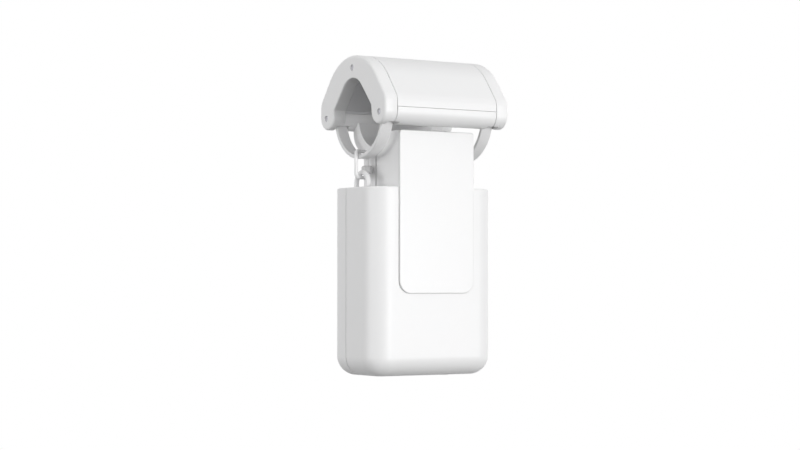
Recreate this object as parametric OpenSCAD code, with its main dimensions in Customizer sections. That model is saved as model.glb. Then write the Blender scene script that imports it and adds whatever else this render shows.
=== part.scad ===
// Motorised curtain mover: an arch hooks over a round bar, two drive wheels press up on it from
// below, and a battery body hangs under them. Millimetres; X runs along the passage, -Y is the
// front and Z is up. The origin is the middle of the passage.

/* [Passage] */
// Diameter of the round passage between the top rollers and the drive wheels
passage_d = 25; // [22:0.5:26]

/* [Arch] */
// Length of the arch along the passage
arch_len = 73.2; // [70:0.2:80]
// Thickness of each end plate
end_plate_t = 7; // [6.6:0.1:8]
// Radius of the arch's outer crown
crown_r = 27.9; // [27.6:0.1:29.6]
// Half of the arch's depth, front to rear
arch_half_depth = 31; // [30.6:0.1:33]
// Outer radius between flank and foot
shoulder_r = 6.9; // [6:0.1:8]
// Height of that radius's centre
shoulder_z = 3.2; // [2.6:0.1:4]
// Half thickness of each foot
foot_r = 6.65; // [6.4:0.05:7]
// Height of the foot's centre
foot_z = -1.1; // [-1.4:0.1:-0.8]
// Radius of the inner crown
inner_r = 11; // [10.6:0.1:11.4]
// Height of the inner crown's centre
inner_z = 5.5; // [5.2:0.1:5.8]
// Height of the parting line between cover and rails
parting_z = 0.5; // [0:0.1:1]
// Wall of the cover and of the inner liner
arch_wall = 2; // [1.6:0.1:2.2]

/* [Rings and links] */
// Inner radius of each ring
ring_ri = 21.5; // [21.2:0.1:21.7]
// Thickness of the ring's band
ring_t = 1.9; // [1.5:0.1:2]
// Width of the ring's band along the passage
ring_w = 6.4; // [5.8:0.1:6.6]
// Distance from the ring's middle to the end face of the arch
ring_inset = 6.85; // [6.6:0.05:7.1]
// Wire diameter of the hanging link
link_wire = 1.8; // [1.6:0.1:2]
// Distance between the link's two legs, centre to centre
link_w = 9.8; // [9.6:0.1:10]
// Height of the link, centre to centre
link_h = 13; // [12:0.1:13.4]
// Angle that the link hangs at across the ring's band
link_turn = 25; // [20:1:28]
// Width across flats of the link's hexagonal sleeve
sleeve_af = 5; // [4:0.1:5.2]
// Height of the sleeve
sleeve_h = 4; // [3:0.1:4.1]
// Wire diameter of the round eye that hangs in the link
eye_wire = 2.5; // [2:0.1:2.6]
// Radius of the eye, to the middle of its wire
eye_r = 5.85; // [5.5:0.05:6]

/* [Rollers and wheels] */
// Least radius of each top roller
roller_r = 5; // [4.6:0.1:5.2]
// Width of each top roller
roller_w = 12; // [10:0.5:12]
// Distance of each top roller from the middle
roller_x = 15; // [13:0.5:16]
// Diameter of the roller axles
roller_axle_d = 3; // [2.4:0.1:3.2]
// Least radius of each drive wheel
wheel_r = 7.4; // [7:0.1:7.5]
// Width of each drive wheel
wheel_w = 10; // [8:0.5:10]
// Distance of each drive wheel from the middle
wheel_x = 9.9; // [9.8:0.05:10]
// Diameter of the wheel axles
wheel_axle_d = 4; // [3:0.1:4.4]

/* [Gears] */
// Module of the gear teeth
gear_m = 0.75; // [0.74:0.005:0.76]
// Width of the gears
gear_w = 3.9; // [3:0.1:4]
// Play between mating teeth
gear_play = 0.14; // [0.1:0.01:0.2]

/* [Neck] */
// Width of the neck
neck_w = 44; // [43.6:0.1:44.4]
// Height of the neck's front top edge
neck_top_z = -9.9; // [-10.4:0.1:-9.6]
// Place, front to rear, of the seam between the fixed neck and the slide arm
neck_seam_y = 0.84; // [0.6:0.02:1.2]
// Place of the slide arm's rear face
arm_rear_y = 12.3; // [12:0.1:12.6]
// Thickness of the slide arm's rear wall
arm_wall = 3; // [2.4:0.1:3.1]
// Thickness of the slide arm's side rails
arm_rail_t = 3; // [2.4:0.1:3.2]
// How far the hook lifts
hook_lift = 28; // [25:0.5:29]

/* [Front panel] */
// Width of the front panel
panel_w = 44.2; // [43.8:0.1:46]
// Height of the front panel
panel_h = 80.7; // [76:0.1:84]
// Thickness of the front panel
panel_t = 1.7; // [1.5:0.1:2]
// How far it stands out from the front shell
panel_proud = 1; // [0.6:0.1:1.2]
// Bottom corner radius of the front panel
panel_corner_r = 6.5; // [4:0.5:9]

/* [Body] */
// Width of the body
body_w = 73.4; // [73:0.2:80]
// Place of the body's front face
body_front_y = -20.6; // [-21.2:0.1:-20.4]
// Place of the body's rear face
body_rear_y = 20.5; // [20.3:0.1:23]
// Height of the body's top rim
body_top_z = -37.7; // [-38:0.1:-37.4]
// Height of the body
body_h = 93.5; // [93:0.5:100]
// Radius of the front upright corners
front_corner_r = 11; // [8:0.5:12]
// Radius of the rear upright corners
rear_corner_r = 9; // [7:0.5:10]
// Radius round the bottom
bottom_r = 9.7; // [9:0.1:11]
// Wall of the body's shells
body_wall = 2; // [1.6:0.1:2.2]
// Place of the seam between front and rear shell
body_seam_y = 5.6; // [5.4:0.1:6]

/* [Power and control] */
// Diameter of each battery cell
cell_d = 18.4; // [18:0.1:18.6]
// Length of each battery cell
cell_len = 65; // [64:0.5:66]
// Diameter of the motor
motor_d = 20; // [18:0.5:20]
// Length of the motor's body
motor_len = 19.6; // [16:0.2:19.8]
// Thickness of the circuit board
board_t = 1.6; // [1:0.1:1.8]
// Width of the circuit board
board_w = 52; // [44:0.5:54]
// Height of the circuit board
board_h = 62; // [56:0.5:63]
// Diameter of the button
button_d = 6; // [5:0.1:6.4]
// Travel of the button
button_travel = 0.6; // [0.4:0.05:0.7]

/* [Hidden] */
$fn = 96;

fit = 0.1;             // gap round pieces that are fixed to each other
slip = 0.25;           // gap round pieces that slide past each other
run = 0.05;            // radial gap of a running bore
press = 0.02;          // radial gap of a pressed or screwed bore
clear = 0.3;           // gap between pieces that only pass each other
past = 1;              // how far a cut or a join runs past a face
reach = 200;           // longer than any cut needs
cell_gap = 1;          // space between the two cells
passage_r = passage_d / 2;

// Arch outline
side_y = arch_half_depth;
shoulder_y = side_y - shoulder_r;
foot_y = side_y - foot_r;
inner_y = foot_y - foot_r;
flank_a = atan2(shoulder_z, shoulder_y) + acos((crown_r - shoulder_r) / norm([shoulder_y, shoulder_z]));
inner_a = 41;          // direction square to the inner flank
opening_low_z = -60;
inner_flank_z = (inner_r + inner_z * sin(inner_a) - inner_y * cos(inner_a)) / sin(inner_a);
end_x = arch_len / 2;
mid_x = end_x - end_plate_t;
foot_bottom_z = foot_z - foot_r;
bulkhead_t = 5;
trough_end = 9;        // solid length at each end of a rail
trough_floor = 2;      // how far the trough goes below the middle of the foot

// Rings turn in a round groove that both the end plates and the middle of the arch share
ring_ro = ring_ri + ring_t;
ring_mid_x = end_x - ring_inset;
ring_front_a = -78;    // where the band ends at the front, from straight down
ring_rear_a = 92;      // where it ends at the rear
ring_turn = 72;        // how far it turns to the rear
groove_side = 0.3;
groove_gap = 0.35;
groove_x0 = ring_mid_x - ring_w / 2 - groove_side;
groove_w = ring_w + 2 * groove_side;
mouth_y0 = 19.5;
mouth_y1 = 28;
mouth_deep = 2.2;
mouth_z = foot_bottom_z + mouth_deep;
plate_screw_top_z = 21.8;
plate_screw_out = 0.75; // from the middle of the foot, outwards
plate_screw_drop = 0.8; // and downwards
plate_screw_y = foot_y + plate_screw_out;
plate_screw_z = foot_z - plate_screw_drop;
plate_screw_spots = [[0, plate_screw_top_z], [plate_screw_y, plate_screw_z],
                     [-plate_screw_y, plate_screw_z]];
plate_screw_r = 0.7;
plate_screw_head_r = 1.45;
plate_screw_len = 8;
plate_screw_head_t = 1.4;
plate_screw_sunk = 0.5;
plate_screw_x = end_x - plate_screw_sunk;

// Hanging links
link_play = 1;         // room between the link's top bar and the band
link_bar_z = -(ring_ri - link_play - link_wire / 2);
link_top_bend = 1.2;
link_low_bend = 2;
link_bottom_z = link_bar_z - link_h;
link_y = 2;
sleeve_z = link_bottom_z + link_low_bend + sleeve_h / 2 + run;

// Round eyes that hang in the links
eye_y = 1;
eye_play = 0.2;
eye_rest = eye_r - eye_wire / 2 - link_wire / 2 - eye_play;
eye_z = link_bottom_z - sqrt(pow(eye_rest, 2) - pow(link_y - eye_y, 2));

// Rollers and wheels
roller_z = passage_r + roller_r;
wheel_z = -passage_r - wheel_r;
roller_rim = roller_r + passage_r - sqrt(pow(passage_r, 2) - pow(roller_w / 2, 2));
wheel_rim = wheel_r + passage_r - sqrt(pow(passage_r, 2) - pow(wheel_w / 2, 2));
roller_axle_r = roller_axle_d / 2;
wheel_axle_r = wheel_axle_d / 2;
side_room = 0.4;       // beside a roller or wheel
rim_room = 0.6;        // round its rim
bracket_y = roller_w / 2 + side_room;
bracket_t = 2.2;
bracket_half_w = 3.2;
bracket_over = 3.2;    // above the roller's axle
bracket_root = 1.2;    // down into the liner

// Gear train: pinion, idler and one gear on each wheel axle
wheel_teeth = 18;
idler_teeth = 30;
pinion_teeth = 12;
idler_z = wheel_z - sqrt(pow(gear_m * (wheel_teeth + idler_teeth) / 2, 2) - pow(wheel_x, 2));
pinion_z = idler_z - gear_m * (idler_teeth + pinion_teeth) / 2;
idler_start = 0;
left_dir = atan2(wheel_z - idler_z, -wheel_x);
right_dir = atan2(wheel_z - idler_z, wheel_x);
left_start = mate_start(left_dir, idler_start, idler_teeth, wheel_teeth);
right_start = mate_start(right_dir, idler_start, idler_teeth, wheel_teeth);
pinion_start = mate_start(-90, idler_start, idler_teeth, pinion_teeth);
neck_front_y = body_front_y - panel_proud + panel_t;
neck_wall = 1.5;
plate_t = 1.4;
mid_plate_y = -wheel_w / 2 - side_room - plate_t;
front_plate_y = neck_front_y + neck_wall + clear;
gear_y = front_plate_y + plate_t + clear;
rear_plate_y = wheel_w / 2 + side_room;
motor_face_y = mid_plate_y + plate_t;
gearbox_half_w = 18.4;
gearbox_drop = 2.6;    // from the passage down to the plates
gearbox_foot = 9;      // from the pinion down to the plates' lower edge
rear_plate_foot = 2.6; // from the idler down to the rear plate's lower edge
gearbox_top_z = -passage_r - gearbox_drop;
gearbox_bottom_z = pinion_z - gearbox_foot;
idler_axle_r = 1.5;
bush_wall = 1.2;
bush_flange_w = 2;
bush_flange_t = 0.25;
bush_r = wheel_axle_r + bush_wall;
bush_flange_r = wheel_axle_r + bush_flange_w;
axle_room = 0.5;       // round a wheel axle where it passes the mid plate
post_r = 1.6;
post_neck_r = 1;       // thinner end that goes through a plate
post_foot = 3;         // lowest posts above the plates' lower edge
post_tail = 2;         // how far a short post goes on behind the mid plate
post_x = 16.4;
board_foot = 5.2;      // from the bottom of the body up to the board
board_bottom_z = body_top_z - body_h + board_foot;
board_top_z = board_bottom_z + board_h;
post_low_z = max(gearbox_bottom_z + post_foot, board_top_z + post_r + past);
post_spots = [[-post_x, post_low_z], [post_x, post_low_z], [-post_x, idler_z], [post_x, idler_z]];

// Neck and slide arm
neck_half = neck_w / 2;
saddle_gap = 2;
saddle_r = passage_r + saddle_gap;
arm_clear_r = 17.6;
neck_bottom_z = -47;
neck_gap = 1.1;        // between the neck's fixed front and the sliding rear
arm_front_y = neck_seam_y + neck_gap / 2;
neck_rear_y = neck_seam_y - neck_gap / 2;
arm_wall_y = arm_rear_y - arm_wall;
arm_wall_bottom_z = pinion_z + motor_d / 2 + rim_room;
arm_shelf_y = 12.6;
arm_shelf_z = -9;
arm_shelf_r = 9.7;
arm_seat_z = -4;
arm_rail_x = neck_half - arm_rail_t;
arm_hold = 14.3;       // length of the rails that stays in the body when the hook is up
arm_foot_z = body_top_z - hook_lift - arm_hold;
arm_lug_h = 2.5;
arm_lug_y = -6.9;
arm_rail_drop = 3;     // where the rails begin, below the shelf
arm_screw_x = 14;
arm_screw_inset = 3.2; // from the middle of the foot
arm_screw_y = foot_y - arm_screw_inset;
arm_screw_r = 1;
arm_screw_in = 1;      // how far it goes past the middle of the foot
arm_head_r = 2;
arm_head_t = 1.4;
arm_head_z = foot_bottom_z - 1; // seat of the screw's head in the shelf

// Body
body_half = body_w / 2;
body_bottom_z = body_top_z - body_h;
panel_over = 0.2;      // how far the panel rises above the neck
panel_top_z = neck_top_z + panel_over;
panel_top_r = 1.5;
panel_bottom_z = panel_top_z - panel_h;
panel_front_y = body_front_y - panel_proud;
deck_t = 1.8;
deck_sunk = 0.4;
deck_z = body_top_z - deck_sunk;
well_side = 1.5;       // room beside the eye
well_swing = 4.9;      // room for the eye to swing with its link
well_x0 = ring_mid_x - eye_wire / 2 - well_side;
well_x1 = ring_mid_x + eye_wire / 2 + well_side;
well_y0 = eye_y - eye_r - eye_wire / 2 - well_swing;
well_y1 = eye_y + eye_r + eye_wire / 2 + well_swing;
well_deep = 1.2;       // room under the eye
well_floor_z = eye_z - eye_r - eye_wire / 2 - well_deep;
well_wall = 1.4;
guide_t = 1.5;
guide_drop = 1;        // from the trays down to the guides
guide_lip = 0.2;       // how far a guide reaches in past its rail
guide_mouth = 3;       // from the arm's front face back to the guide
guide_top_z = well_floor_z - well_wall - guide_drop;
shell_screw_inset = 6; // from the inside of the wall
shell_screw_x = body_half - body_wall - shell_screw_inset;
shell_screw_drops = [15.3, 42.3]; // below the top of the body
shell_screw_zs = [for (drop = shell_screw_drops) body_top_z - drop];
shell_boss_r = 2.6;
shell_screw_r = 1;
shell_screw_head_r = 1.9;
shell_screw_sunk = 1.4;
shell_screw_head_t = 1.6;
shell_screw_y1 = body_rear_y - shell_screw_sunk;
shell_screw_len = 16;
shell_boss_y = -6;     // front end of the front shell's bosses
shell_boss_floor = 1.5; // solid end of a boss
shell_rib_t = 2;       // rib that ties a boss to the side wall
rim_way_y = -10;       // how far back the rim is open for the neck
usb_gap = 0.3;         // round the charging socket

// Power and control
cell_r = cell_d / 2;
cell_rear_gap = 2.2;   // from the rear wall to the cells
cell_foot = 6;         // from the floor up to the lower cell
cell_nub_r = 3;
cell_nub_len = 1.2;
cell_y = body_rear_y - body_wall - cell_rear_gap - cell_r;
lower_cell_z = body_bottom_z + body_wall + cell_foot + cell_r;
upper_cell_z = lower_cell_z + cell_d + cell_gap;
holder_end_t = 1;
holder_half_d = 6;     // end caps, front to rear
holder_web_half_d = 4; // web between the cells, front to rear
holder_drop = 4;       // end caps below the lower cell's axis
holder_rise = 6;       // and above the upper one's
contact_half_w = 3;
contact_t = 0.4;
board_front_y = -9.4;
board_rear_y = board_front_y + board_t;
usb_w = 8.9;
usb_t = 3.2;
usb_h = 7.4;
usb_y = board_rear_y + usb_t / 2;
usb_sunk = 0.5;
usb_wall = 0.3;
usb_back = 1.4;
usb_tongue_half_w = 3.3;
usb_tongue_half_t = 0.35;
usb_tongue_sunk = 0.8;
usb_z = body_bottom_z + usb_sunk;
button_x = 14;
button_out = 2.2;      // from the board to the button's axis
button_y = board_rear_y + button_out;
button_r = button_d / 2;
button_flange_w = 0.8;
button_flange_r = button_r + button_flange_w;
button_stem_r = 1.4;
button_flange_t = 1;
button_flange_gap = 0.5;
button_flange_z = body_bottom_z + body_wall + button_flange_gap;
button_proud = 0.3;
switch_h = 3;
switch_half_w = 3;
switch_d = 4;
switch_gap = button_travel + fit;
button_stem_in = 0.4;  // how far the stem goes past the board's lower edge
button_top_z = board_bottom_z + button_stem_in;
guide_sunk = 0.2;
guide_in = 2;          // how far the light guide goes past the board's lower edge
guide_x = -14;
light_r = 1.2;
board_screw_x = 24;
board_screw_drop = 4;  // below the board's upper edge
board_screw_r = 1;
board_screw_in = 5;
board_head_r = 1.8;
board_head_t = 1.2;
board_screw_z = board_top_z - board_screw_drop;
board_screw_spots = [[-board_screw_x, board_screw_z], [board_screw_x, board_screw_z]];
radio_x0 = -9;
radio_x1 = 7;
radio_foot = 24;       // from the board's lower edge
radio_h = 14;
radio_t = 2.4;
spring_x = arm_rail_x + arm_rail_t / 2;
spring_inset = 2.3;    // from the lug's front to the spring's axis
spring_y = arm_lug_y + spring_inset;
spring_top_z = arm_foot_z;
spring_anchor_half_w = 2.4;
spring_anchor_half_d = 2.2;
spring_foot = 3.4;     // from the floor up to the anchor's top
spring_anchor_z = body_bottom_z + body_wall + spring_foot;
spring_wire = 0.8;
spring_coil_r = 1.6;
spring_turns = 14;

// Where a mating gear's tooth must sit: direction to it, first gear's start, both tooth counts
function mate_start(dir, start, n1, n2) = dir + 180 - 180 / n2 + (dir - start) * n1 / n2;
function polar(r, a) = [r * cos(a), r * sin(a)];
function below(r, a) = [r * sin(a), -r * cos(a)];
function arc(c, r, a0, a1, n = 16) = [for (i = [0:n]) c + polar(r, a0 + (a1 - a0) * i / n)];
// A half outline and its mirror image, which share their first points where those lie on the axis
function mirrored(half, shared = 0) =
  concat(half, [for (i = [len(half) - 1:-1:shared]) [-half[i].x, half[i].y]]);

// Involute gear outline: four points on each flank, thinned by the play
pressure_a = 25;
root_depth = 1.15;     // in modules, as are the next two
low_flank = 0.75;
tip_height = 0.82;
function inv_a(r, base) = r <= base ? 0 : tan(acos(base / r)) * 180 / PI - acos(base / r);
function half_tooth(n, r) =
  let (pitch = gear_m * n / 2, base = pitch * cos(pressure_a))
  90 / n - gear_play * 90 / (PI * pitch) + inv_a(pitch, base) - inv_a(r, base);
function flank_radii(n) =
  let (pitch = gear_m * n / 2)
  [pitch - root_depth * gear_m, max(pitch * cos(pressure_a), pitch - low_flank * gear_m),
   pitch, pitch + tip_height * gear_m];
function tooth_points(n, centre) =
  let (radii = flank_radii(n))
  concat([for (i = [0:3]) polar(radii[i], centre - half_tooth(n, radii[i]))],
         [for (i = [3:-1:0]) polar(radii[i], centre + half_tooth(n, radii[i]))]);
function gear_points(n, start) = [for (k = [0:n - 1]) each tooth_points(n, start + k * 360 / n)];

// Places a flat shape drawn in (Y, Z) between two X, or one drawn in (X, Z) between two Y
module along_x(x0, x1) translate([x0, 0, 0]) rotate([90, 0, 90]) linear_extrude(x1 - x0) children();
module along_y(y0, y1) translate([0, y1, 0]) rotate([90, 0, 0]) linear_extrude(y1 - y0) children();
module along_z(z0, z1) translate([0, 0, z0]) linear_extrude(z1 - z0) children();
module pin_x(x0, x1, r) translate([x0, 0, 0]) rotate([0, 90, 0]) cylinder(h = x1 - x0, r = r);
module pin_y(y0, y1, r) translate([0, y0, 0]) rotate([-90, 0, 0]) cylinder(h = y1 - y0, r = r);
module pin_z(z0, z1, r) translate([0, 0, z0]) cylinder(h = z1 - z0, r = r);
module both_flat() { children(); mirror([1, 0]) children(); }
module block(lo, hi) translate(lo) cube(hi - lo);

foot_steps = 24;
// Arch outline in (Y, Z), drawn inside by a given wall: crown, shoulders and feet with flanks between
module arch_outline(inside = 0) polygon(mirrored(concat(
  arc([0, 0], crown_r - inside, 90, flank_a),
  arc([shoulder_y, shoulder_z], shoulder_r - inside, flank_a, 0),
  arc([foot_y, foot_z], foot_r - inside, 0, -180, foot_steps)), 1));

// Opening of the arch in (Y, Z), grown by a given wall
module arch_opening(grown = 0) polygon(mirrored(concat(
  arc([0, inner_z], inner_r + grown, 90, inner_a),
  [[inner_y + grown, inner_flank_z + grown * tan(45 - inner_a / 2)],
   [inner_y + grown, opening_low_z]]), 1));

module upper_half(z) translate([-reach / 2, z]) square([reach, reach]);
module lower_half(z) translate([-reach / 2, z - reach]) square([reach, reach]);

// Round groove that a ring turns in, with the mouths where the band leaves the feet. A fan of four
// rays keeps it out of the part of the crown where the band never comes.
groove_end_a = 4;
groove_fan_r = 60;
groove_fan = [ring_rear_a + ring_turn + groove_end_a, 205, 240, 360 + ring_front_a - groove_end_a];
module ring_groove() {
  along_x(groove_x0, groove_x0 + groove_w) {
    difference() {
      circle(ring_ro + groove_gap);
      circle(ring_ri - groove_gap);
      polygon(concat([[0, 0]], [for (a = groove_fan) below(groove_fan_r, a)]));
    }
    both_flat() translate([mouth_y0, mouth_z - reach]) square([mouth_y1 - mouth_y0, reach]);
  }
}

// Screw along X from a spot in (Y, Z): countersunk head outside, thread inside
module plate_screw(spot, gap = 0) translate([0, spot.x, spot.y]) {
  pin_x(plate_screw_x - plate_screw_len, plate_screw_x, plate_screw_r + gap);
  pin_x(plate_screw_x - plate_screw_head_t, gap > 0 ? end_x + past : plate_screw_x,
        plate_screw_head_r + gap);
}

module hook_cover() color("white")
  along_x(-mid_x + fit, mid_x - fit) difference() {
    arch_outline();
    arch_outline(arch_wall);
    lower_half(parting_z + fit);
  }

// Liner, two bulkheads and the roller brackets in one moulding
module hook_core() color("gainsboro") difference() {
  union() {
    along_x(-mid_x + fit, mid_x - fit) difference() {
      arch_opening(arch_wall);
      arch_opening();
      lower_half(parting_z + fit);
    }
    for (side = [-1, 1])
      along_x(min(side * (mid_x - fit), side * (mid_x - bulkhead_t)),
              max(side * (mid_x - fit), side * (mid_x - bulkhead_t))) difference() {
        arch_outline(arch_wall + fit);
        arch_opening();
        lower_half(parting_z + fit);
      }
    for (sx = [-1, 1], sy = [-1, 1])
      translate([sx * roller_x, sy * (bracket_y + bracket_t / 2), 0])
        block([-bracket_half_w, -bracket_t / 2, inner_z + inner_r - bracket_root],
              [bracket_half_w, bracket_t / 2, roller_z + bracket_over]);
  }
  for (sx = [-1, 1]) {
    translate([sx * roller_x, 0, 0])
      block([-roller_rim - rim_room, -bracket_y, 0],
            [roller_rim + rim_room, bracket_y, roller_z + roller_rim + side_room]);
    translate([sx * roller_x, 0, roller_z]) pin_y(-reach / 2, reach / 2, roller_axle_r + press);
    mirror([sx < 0 ? 1 : 0, 0, 0]) {
      ring_groove();
      plate_screw(plate_screw_spots[0], press);
    }
  }
  arch_hole_cut();
}

// Keeps the brackets and bulkheads out of the passage
module arch_hole_cut() along_x(-reach / 2, reach / 2) arch_opening();

// Rail below the parting line: a foot-shaped bar with a trough between its solid ends
module rail_form() difference() {
  along_x(-mid_x + fit, mid_x - fit)
    polygon(concat([[inner_y, parting_z], [side_y, parting_z]],
                   arc([foot_y, foot_z], foot_r, 0, -180, foot_steps)));
  block([-mid_x + trough_end, inner_y + arch_wall, foot_z - trough_floor],
        [mid_x - trough_end, side_y - arch_wall, reach]);
  for (sx = [0, 1]) mirror([sx, 0, 0]) {
    ring_groove();
    plate_screw(plate_screw_spots[1], press);
  }
}

module hook_front_rail() color("white") mirror([0, 1, 0]) rail_form();

// Rear rail, cut away where the slide arm is bolted under it
module hook_rear_rail() color("white") difference() {
  rail_form();
  block([-neck_half - fit, 0, -reach], [neck_half + fit, reach, arm_seat_z]);
  for (sx = [-1, 1]) translate([sx * arm_screw_x, arm_screw_y, 0])
    pin_z(-reach / 2, reach / 2, arm_screw_r + press);
}

module end_plate_form() difference() {
  along_x(mid_x, end_x) difference() {
    arch_outline();
    arch_opening();
  }
  ring_groove();
  for (spot = plate_screw_spots) plate_screw(spot, press + fit);
}

module end_plate_left() color("white") mirror([1, 0, 0]) end_plate_form();
module end_plate_right() color("white") end_plate_form();

module end_plate_screws() color("silver")
  for (sx = [0, 1], spot = plate_screw_spots) mirror([sx, 0, 0]) plate_screw(spot);

// Arm that carries the arch: shelf under the rear rail, rear wall, and two rails that slide in the body
module slide_arm() color("white") difference() {
  union() {
    along_x(-neck_half, neck_half) difference() {
      union() {
        translate([arm_wall_y, arm_wall_bottom_z]) square([arm_wall, arm_shelf_z - arm_wall_bottom_z]);
        translate([arm_shelf_y, arm_shelf_z]) circle(arm_shelf_r);
        translate([foot_y, foot_z]) circle(foot_r);
        translate([inner_y, foot_z]) square([foot_r, arm_seat_z - foot_z + past]);
      }
      circle(arm_clear_r);
      upper_half(arm_seat_z);
      translate([-reach, -reach]) square([reach + arm_wall_y, 2 * reach]);
    }
    for (sx = [0, 1]) mirror([sx, 0, 0]) {
      along_x(arm_rail_x, neck_half) difference() {
        translate([arm_front_y, arm_foot_z]) square([arm_rear_y - arm_front_y, -arm_foot_z]);
        circle(arm_clear_r);
        upper_half(arm_shelf_z - arm_rail_drop);
      }
      block([arm_rail_x, arm_lug_y, arm_foot_z], [neck_half, arm_front_y + past, arm_foot_z + arm_lug_h]);
    }
  }
  for (sx = [-1, 1]) translate([sx * arm_screw_x, arm_screw_y, 0]) {
    pin_z(-reach, 0, arm_screw_r + press);
    pin_z(-reach, arm_head_z, arm_head_r + fit);
  }
}

// Screws from under the shelf up into the rear rail
module arm_screws() color("silver")
  for (sx = [-1, 1]) translate([sx * arm_screw_x, arm_screw_y, 0]) {
    pin_z(arm_head_z - past, foot_z + arm_screw_in, arm_screw_r);
    pin_z(arm_head_z - arm_head_t, arm_head_z, arm_head_r);
  }

module roller_axles() color("silver")
  for (sx = [-1, 1]) translate([sx * roller_x, 0, roller_z])
    pin_y(-bracket_y - bracket_t, bracket_y + bracket_t, roller_axle_r);

// Body of revolution about Y with a hollow tread that matches the passage
module hollow_tread(least_r, width, bore) rotate([90, 0, 0]) rotate_extrude() difference() {
  translate([bore, -width / 2])
    square([least_r + passage_r - sqrt(pow(passage_r, 2) - pow(width / 2, 2)) - bore, width]);
  translate([least_r + passage_r, 0]) circle(passage_r);
}

module roller_form(sx) translate([sx * roller_x, 0, roller_z])
  hollow_tread(roller_r, roller_w, roller_axle_r + run);
module roller_left() color("dimgray") roller_form(-1);
module roller_right() color("dimgray") roller_form(1);

// Flat band that turns in the groove and carries the link
module ring_form() translate([ring_mid_x - ring_w / 2, 0, 0]) rotate([0, 90, 0])
  rotate([0, 0, ring_front_a]) rotate_extrude(angle = ring_rear_a - ring_front_a)
    translate([ring_ri, 0]) square([ring_t, ring_w]);
module ring_left() color("white") mirror([1, 0, 0]) ring_form();
module ring_right() color("white") ring_form();

// The link hangs across the band at an angle, behind the arch's middle line
module at_link() translate([ring_mid_x, link_y, 0]) rotate([0, 0, -link_turn]) children();

// Closed wire loop round the band: tight bends at the top, wide ones at the bottom
module link_form() at_link() for (side = [0, 1]) mirror([side, 0, 0]) {
  translate([link_w / 2, 0, 0])
    pin_z(link_bottom_z + link_low_bend, link_bar_z - link_top_bend, link_wire / 2);
  translate([0, 0, link_bar_z]) pin_x(-past, link_w / 2 - link_top_bend, link_wire / 2);
  translate([0, 0, link_bottom_z]) pin_x(-past, link_w / 2 - link_low_bend, link_wire / 2);
  translate([link_w / 2 - link_top_bend, 0, link_bar_z - link_top_bend]) link_bend(link_top_bend, 0);
  translate([link_w / 2 - link_low_bend, 0, link_bottom_z + link_low_bend]) link_bend(link_low_bend, -90);
}
module link_bend(r, start) rotate([90, 0, 0]) rotate([0, 0, start]) rotate_extrude(angle = 90)
  translate([r, 0]) circle(link_wire / 2);
module link_left() color("white") mirror([1, 0, 0]) link_form();
module link_right() color("white") link_form();

// Hexagonal sleeve that turns on the link's inner leg
module sleeve_form() at_link() translate([-link_w / 2, 0, sleeve_z]) difference() {
  pin_hex(sleeve_h, sleeve_af / sqrt(3));
  pin_z(-sleeve_h, sleeve_h, link_wire / 2 + run);
}
module pin_hex(h, r) translate([0, 0, -h / 2]) cylinder(h = h, r = r, $fn = 6);
module link_sleeve_left() color("white") mirror([1, 0, 0]) sleeve_form();
module link_sleeve_right() color("white") sleeve_form();

// Round wire eye that hangs in the link, for a hook
module eye_form() translate([ring_mid_x, eye_y, eye_z]) rotate([0, 90, 0]) rotate_extrude()
  translate([eye_r, 0]) circle(eye_wire / 2);
module eye_left() color("white") mirror([1, 0, 0]) eye_form();
module eye_right() color("white") eye_form();

// Fixed front of the neck: a box open behind and below, with a saddle cut for the passage
module neck_cover() color("white") difference() {
  along_x(-neck_half, neck_half) difference() {
    translate([neck_front_y, neck_bottom_z])
      square([neck_rear_y - neck_front_y, neck_top_z - neck_bottom_z]);
    circle(saddle_r);
  }
  along_x(-neck_half + neck_wall, neck_half - neck_wall) difference() {
    translate([neck_front_y + neck_wall, -reach]) square([reach, reach + neck_top_z - neck_wall]);
    circle(saddle_r + neck_wall);
  }
  block([-wheel_x - wheel_rim - rim_room, mid_plate_y - clear, neck_bottom_z],
        [wheel_x + wheel_rim + rim_room, reach, 0]);
}

// Panel outline in (X, Z): eased top corners and round bottom ones
module panel_outline(grown = 0) {
  w = panel_w / 2 + grown;
  top = panel_top_z + grown;
  low = panel_bottom_z - grown;
  polygon(mirrored(concat(arc([w - panel_top_r, top - panel_top_r], panel_top_r, 90, 0),
                          arc([w - panel_corner_r, low + panel_corner_r], panel_corner_r, 0, -90))));
}
module front_panel() color("white") along_y(panel_front_y, panel_front_y + panel_t) panel_outline();

// Outline of the body seen from above, drawn inside by a given wall
module body_plan(inside = 0) {
  fr = front_corner_r - inside;
  rr = rear_corner_r - inside;
  w = body_half - inside;
  front = body_front_y + inside;
  rear = body_rear_y - inside;
  translate([-w + fr, front]) square([2 * (w - fr), 2 * fr]);
  translate([-w, front + fr]) square([2 * w, rear - rr - front - fr]);
  translate([-w + rr, rear - 2 * rr]) square([2 * (w - rr), 2 * rr]);
  both_flat() {
    translate([w - fr, front + fr]) circle(fr);
    translate([w - rr, rear - rr]) circle(rr);
  }
}

// Outline with two round bottom corners, seen from the front or the side
module cup_outline(u0, u1, inside) {
  r = bottom_r - inside;
  low = body_bottom_z + inside;
  translate([u0, low + r]) square([u1 - u0, reach]);
  translate([u0 + r, low]) square([u1 - u0 - 2 * r, 2 * r]);
  for (u = [u0 + r, u1 - r]) translate([u, low + r]) circle(r);
}

// Body block: the plan cut to the front and side outlines
module body_block(inside, top_z) intersection() {
  along_z(body_bottom_z + inside - past, top_z) body_plan(inside);
  along_y(-reach / 2, reach / 2) cup_outline(-body_half + inside, body_half - inside, inside);
  along_x(-reach / 2, reach / 2) cup_outline(body_front_y + inside, body_rear_y - inside, inside);
}

// Hollow body, open at the top
module body_cup() difference() {
  body_block(0, body_top_z);
  body_block(body_wall, body_top_z + past);
}

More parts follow.
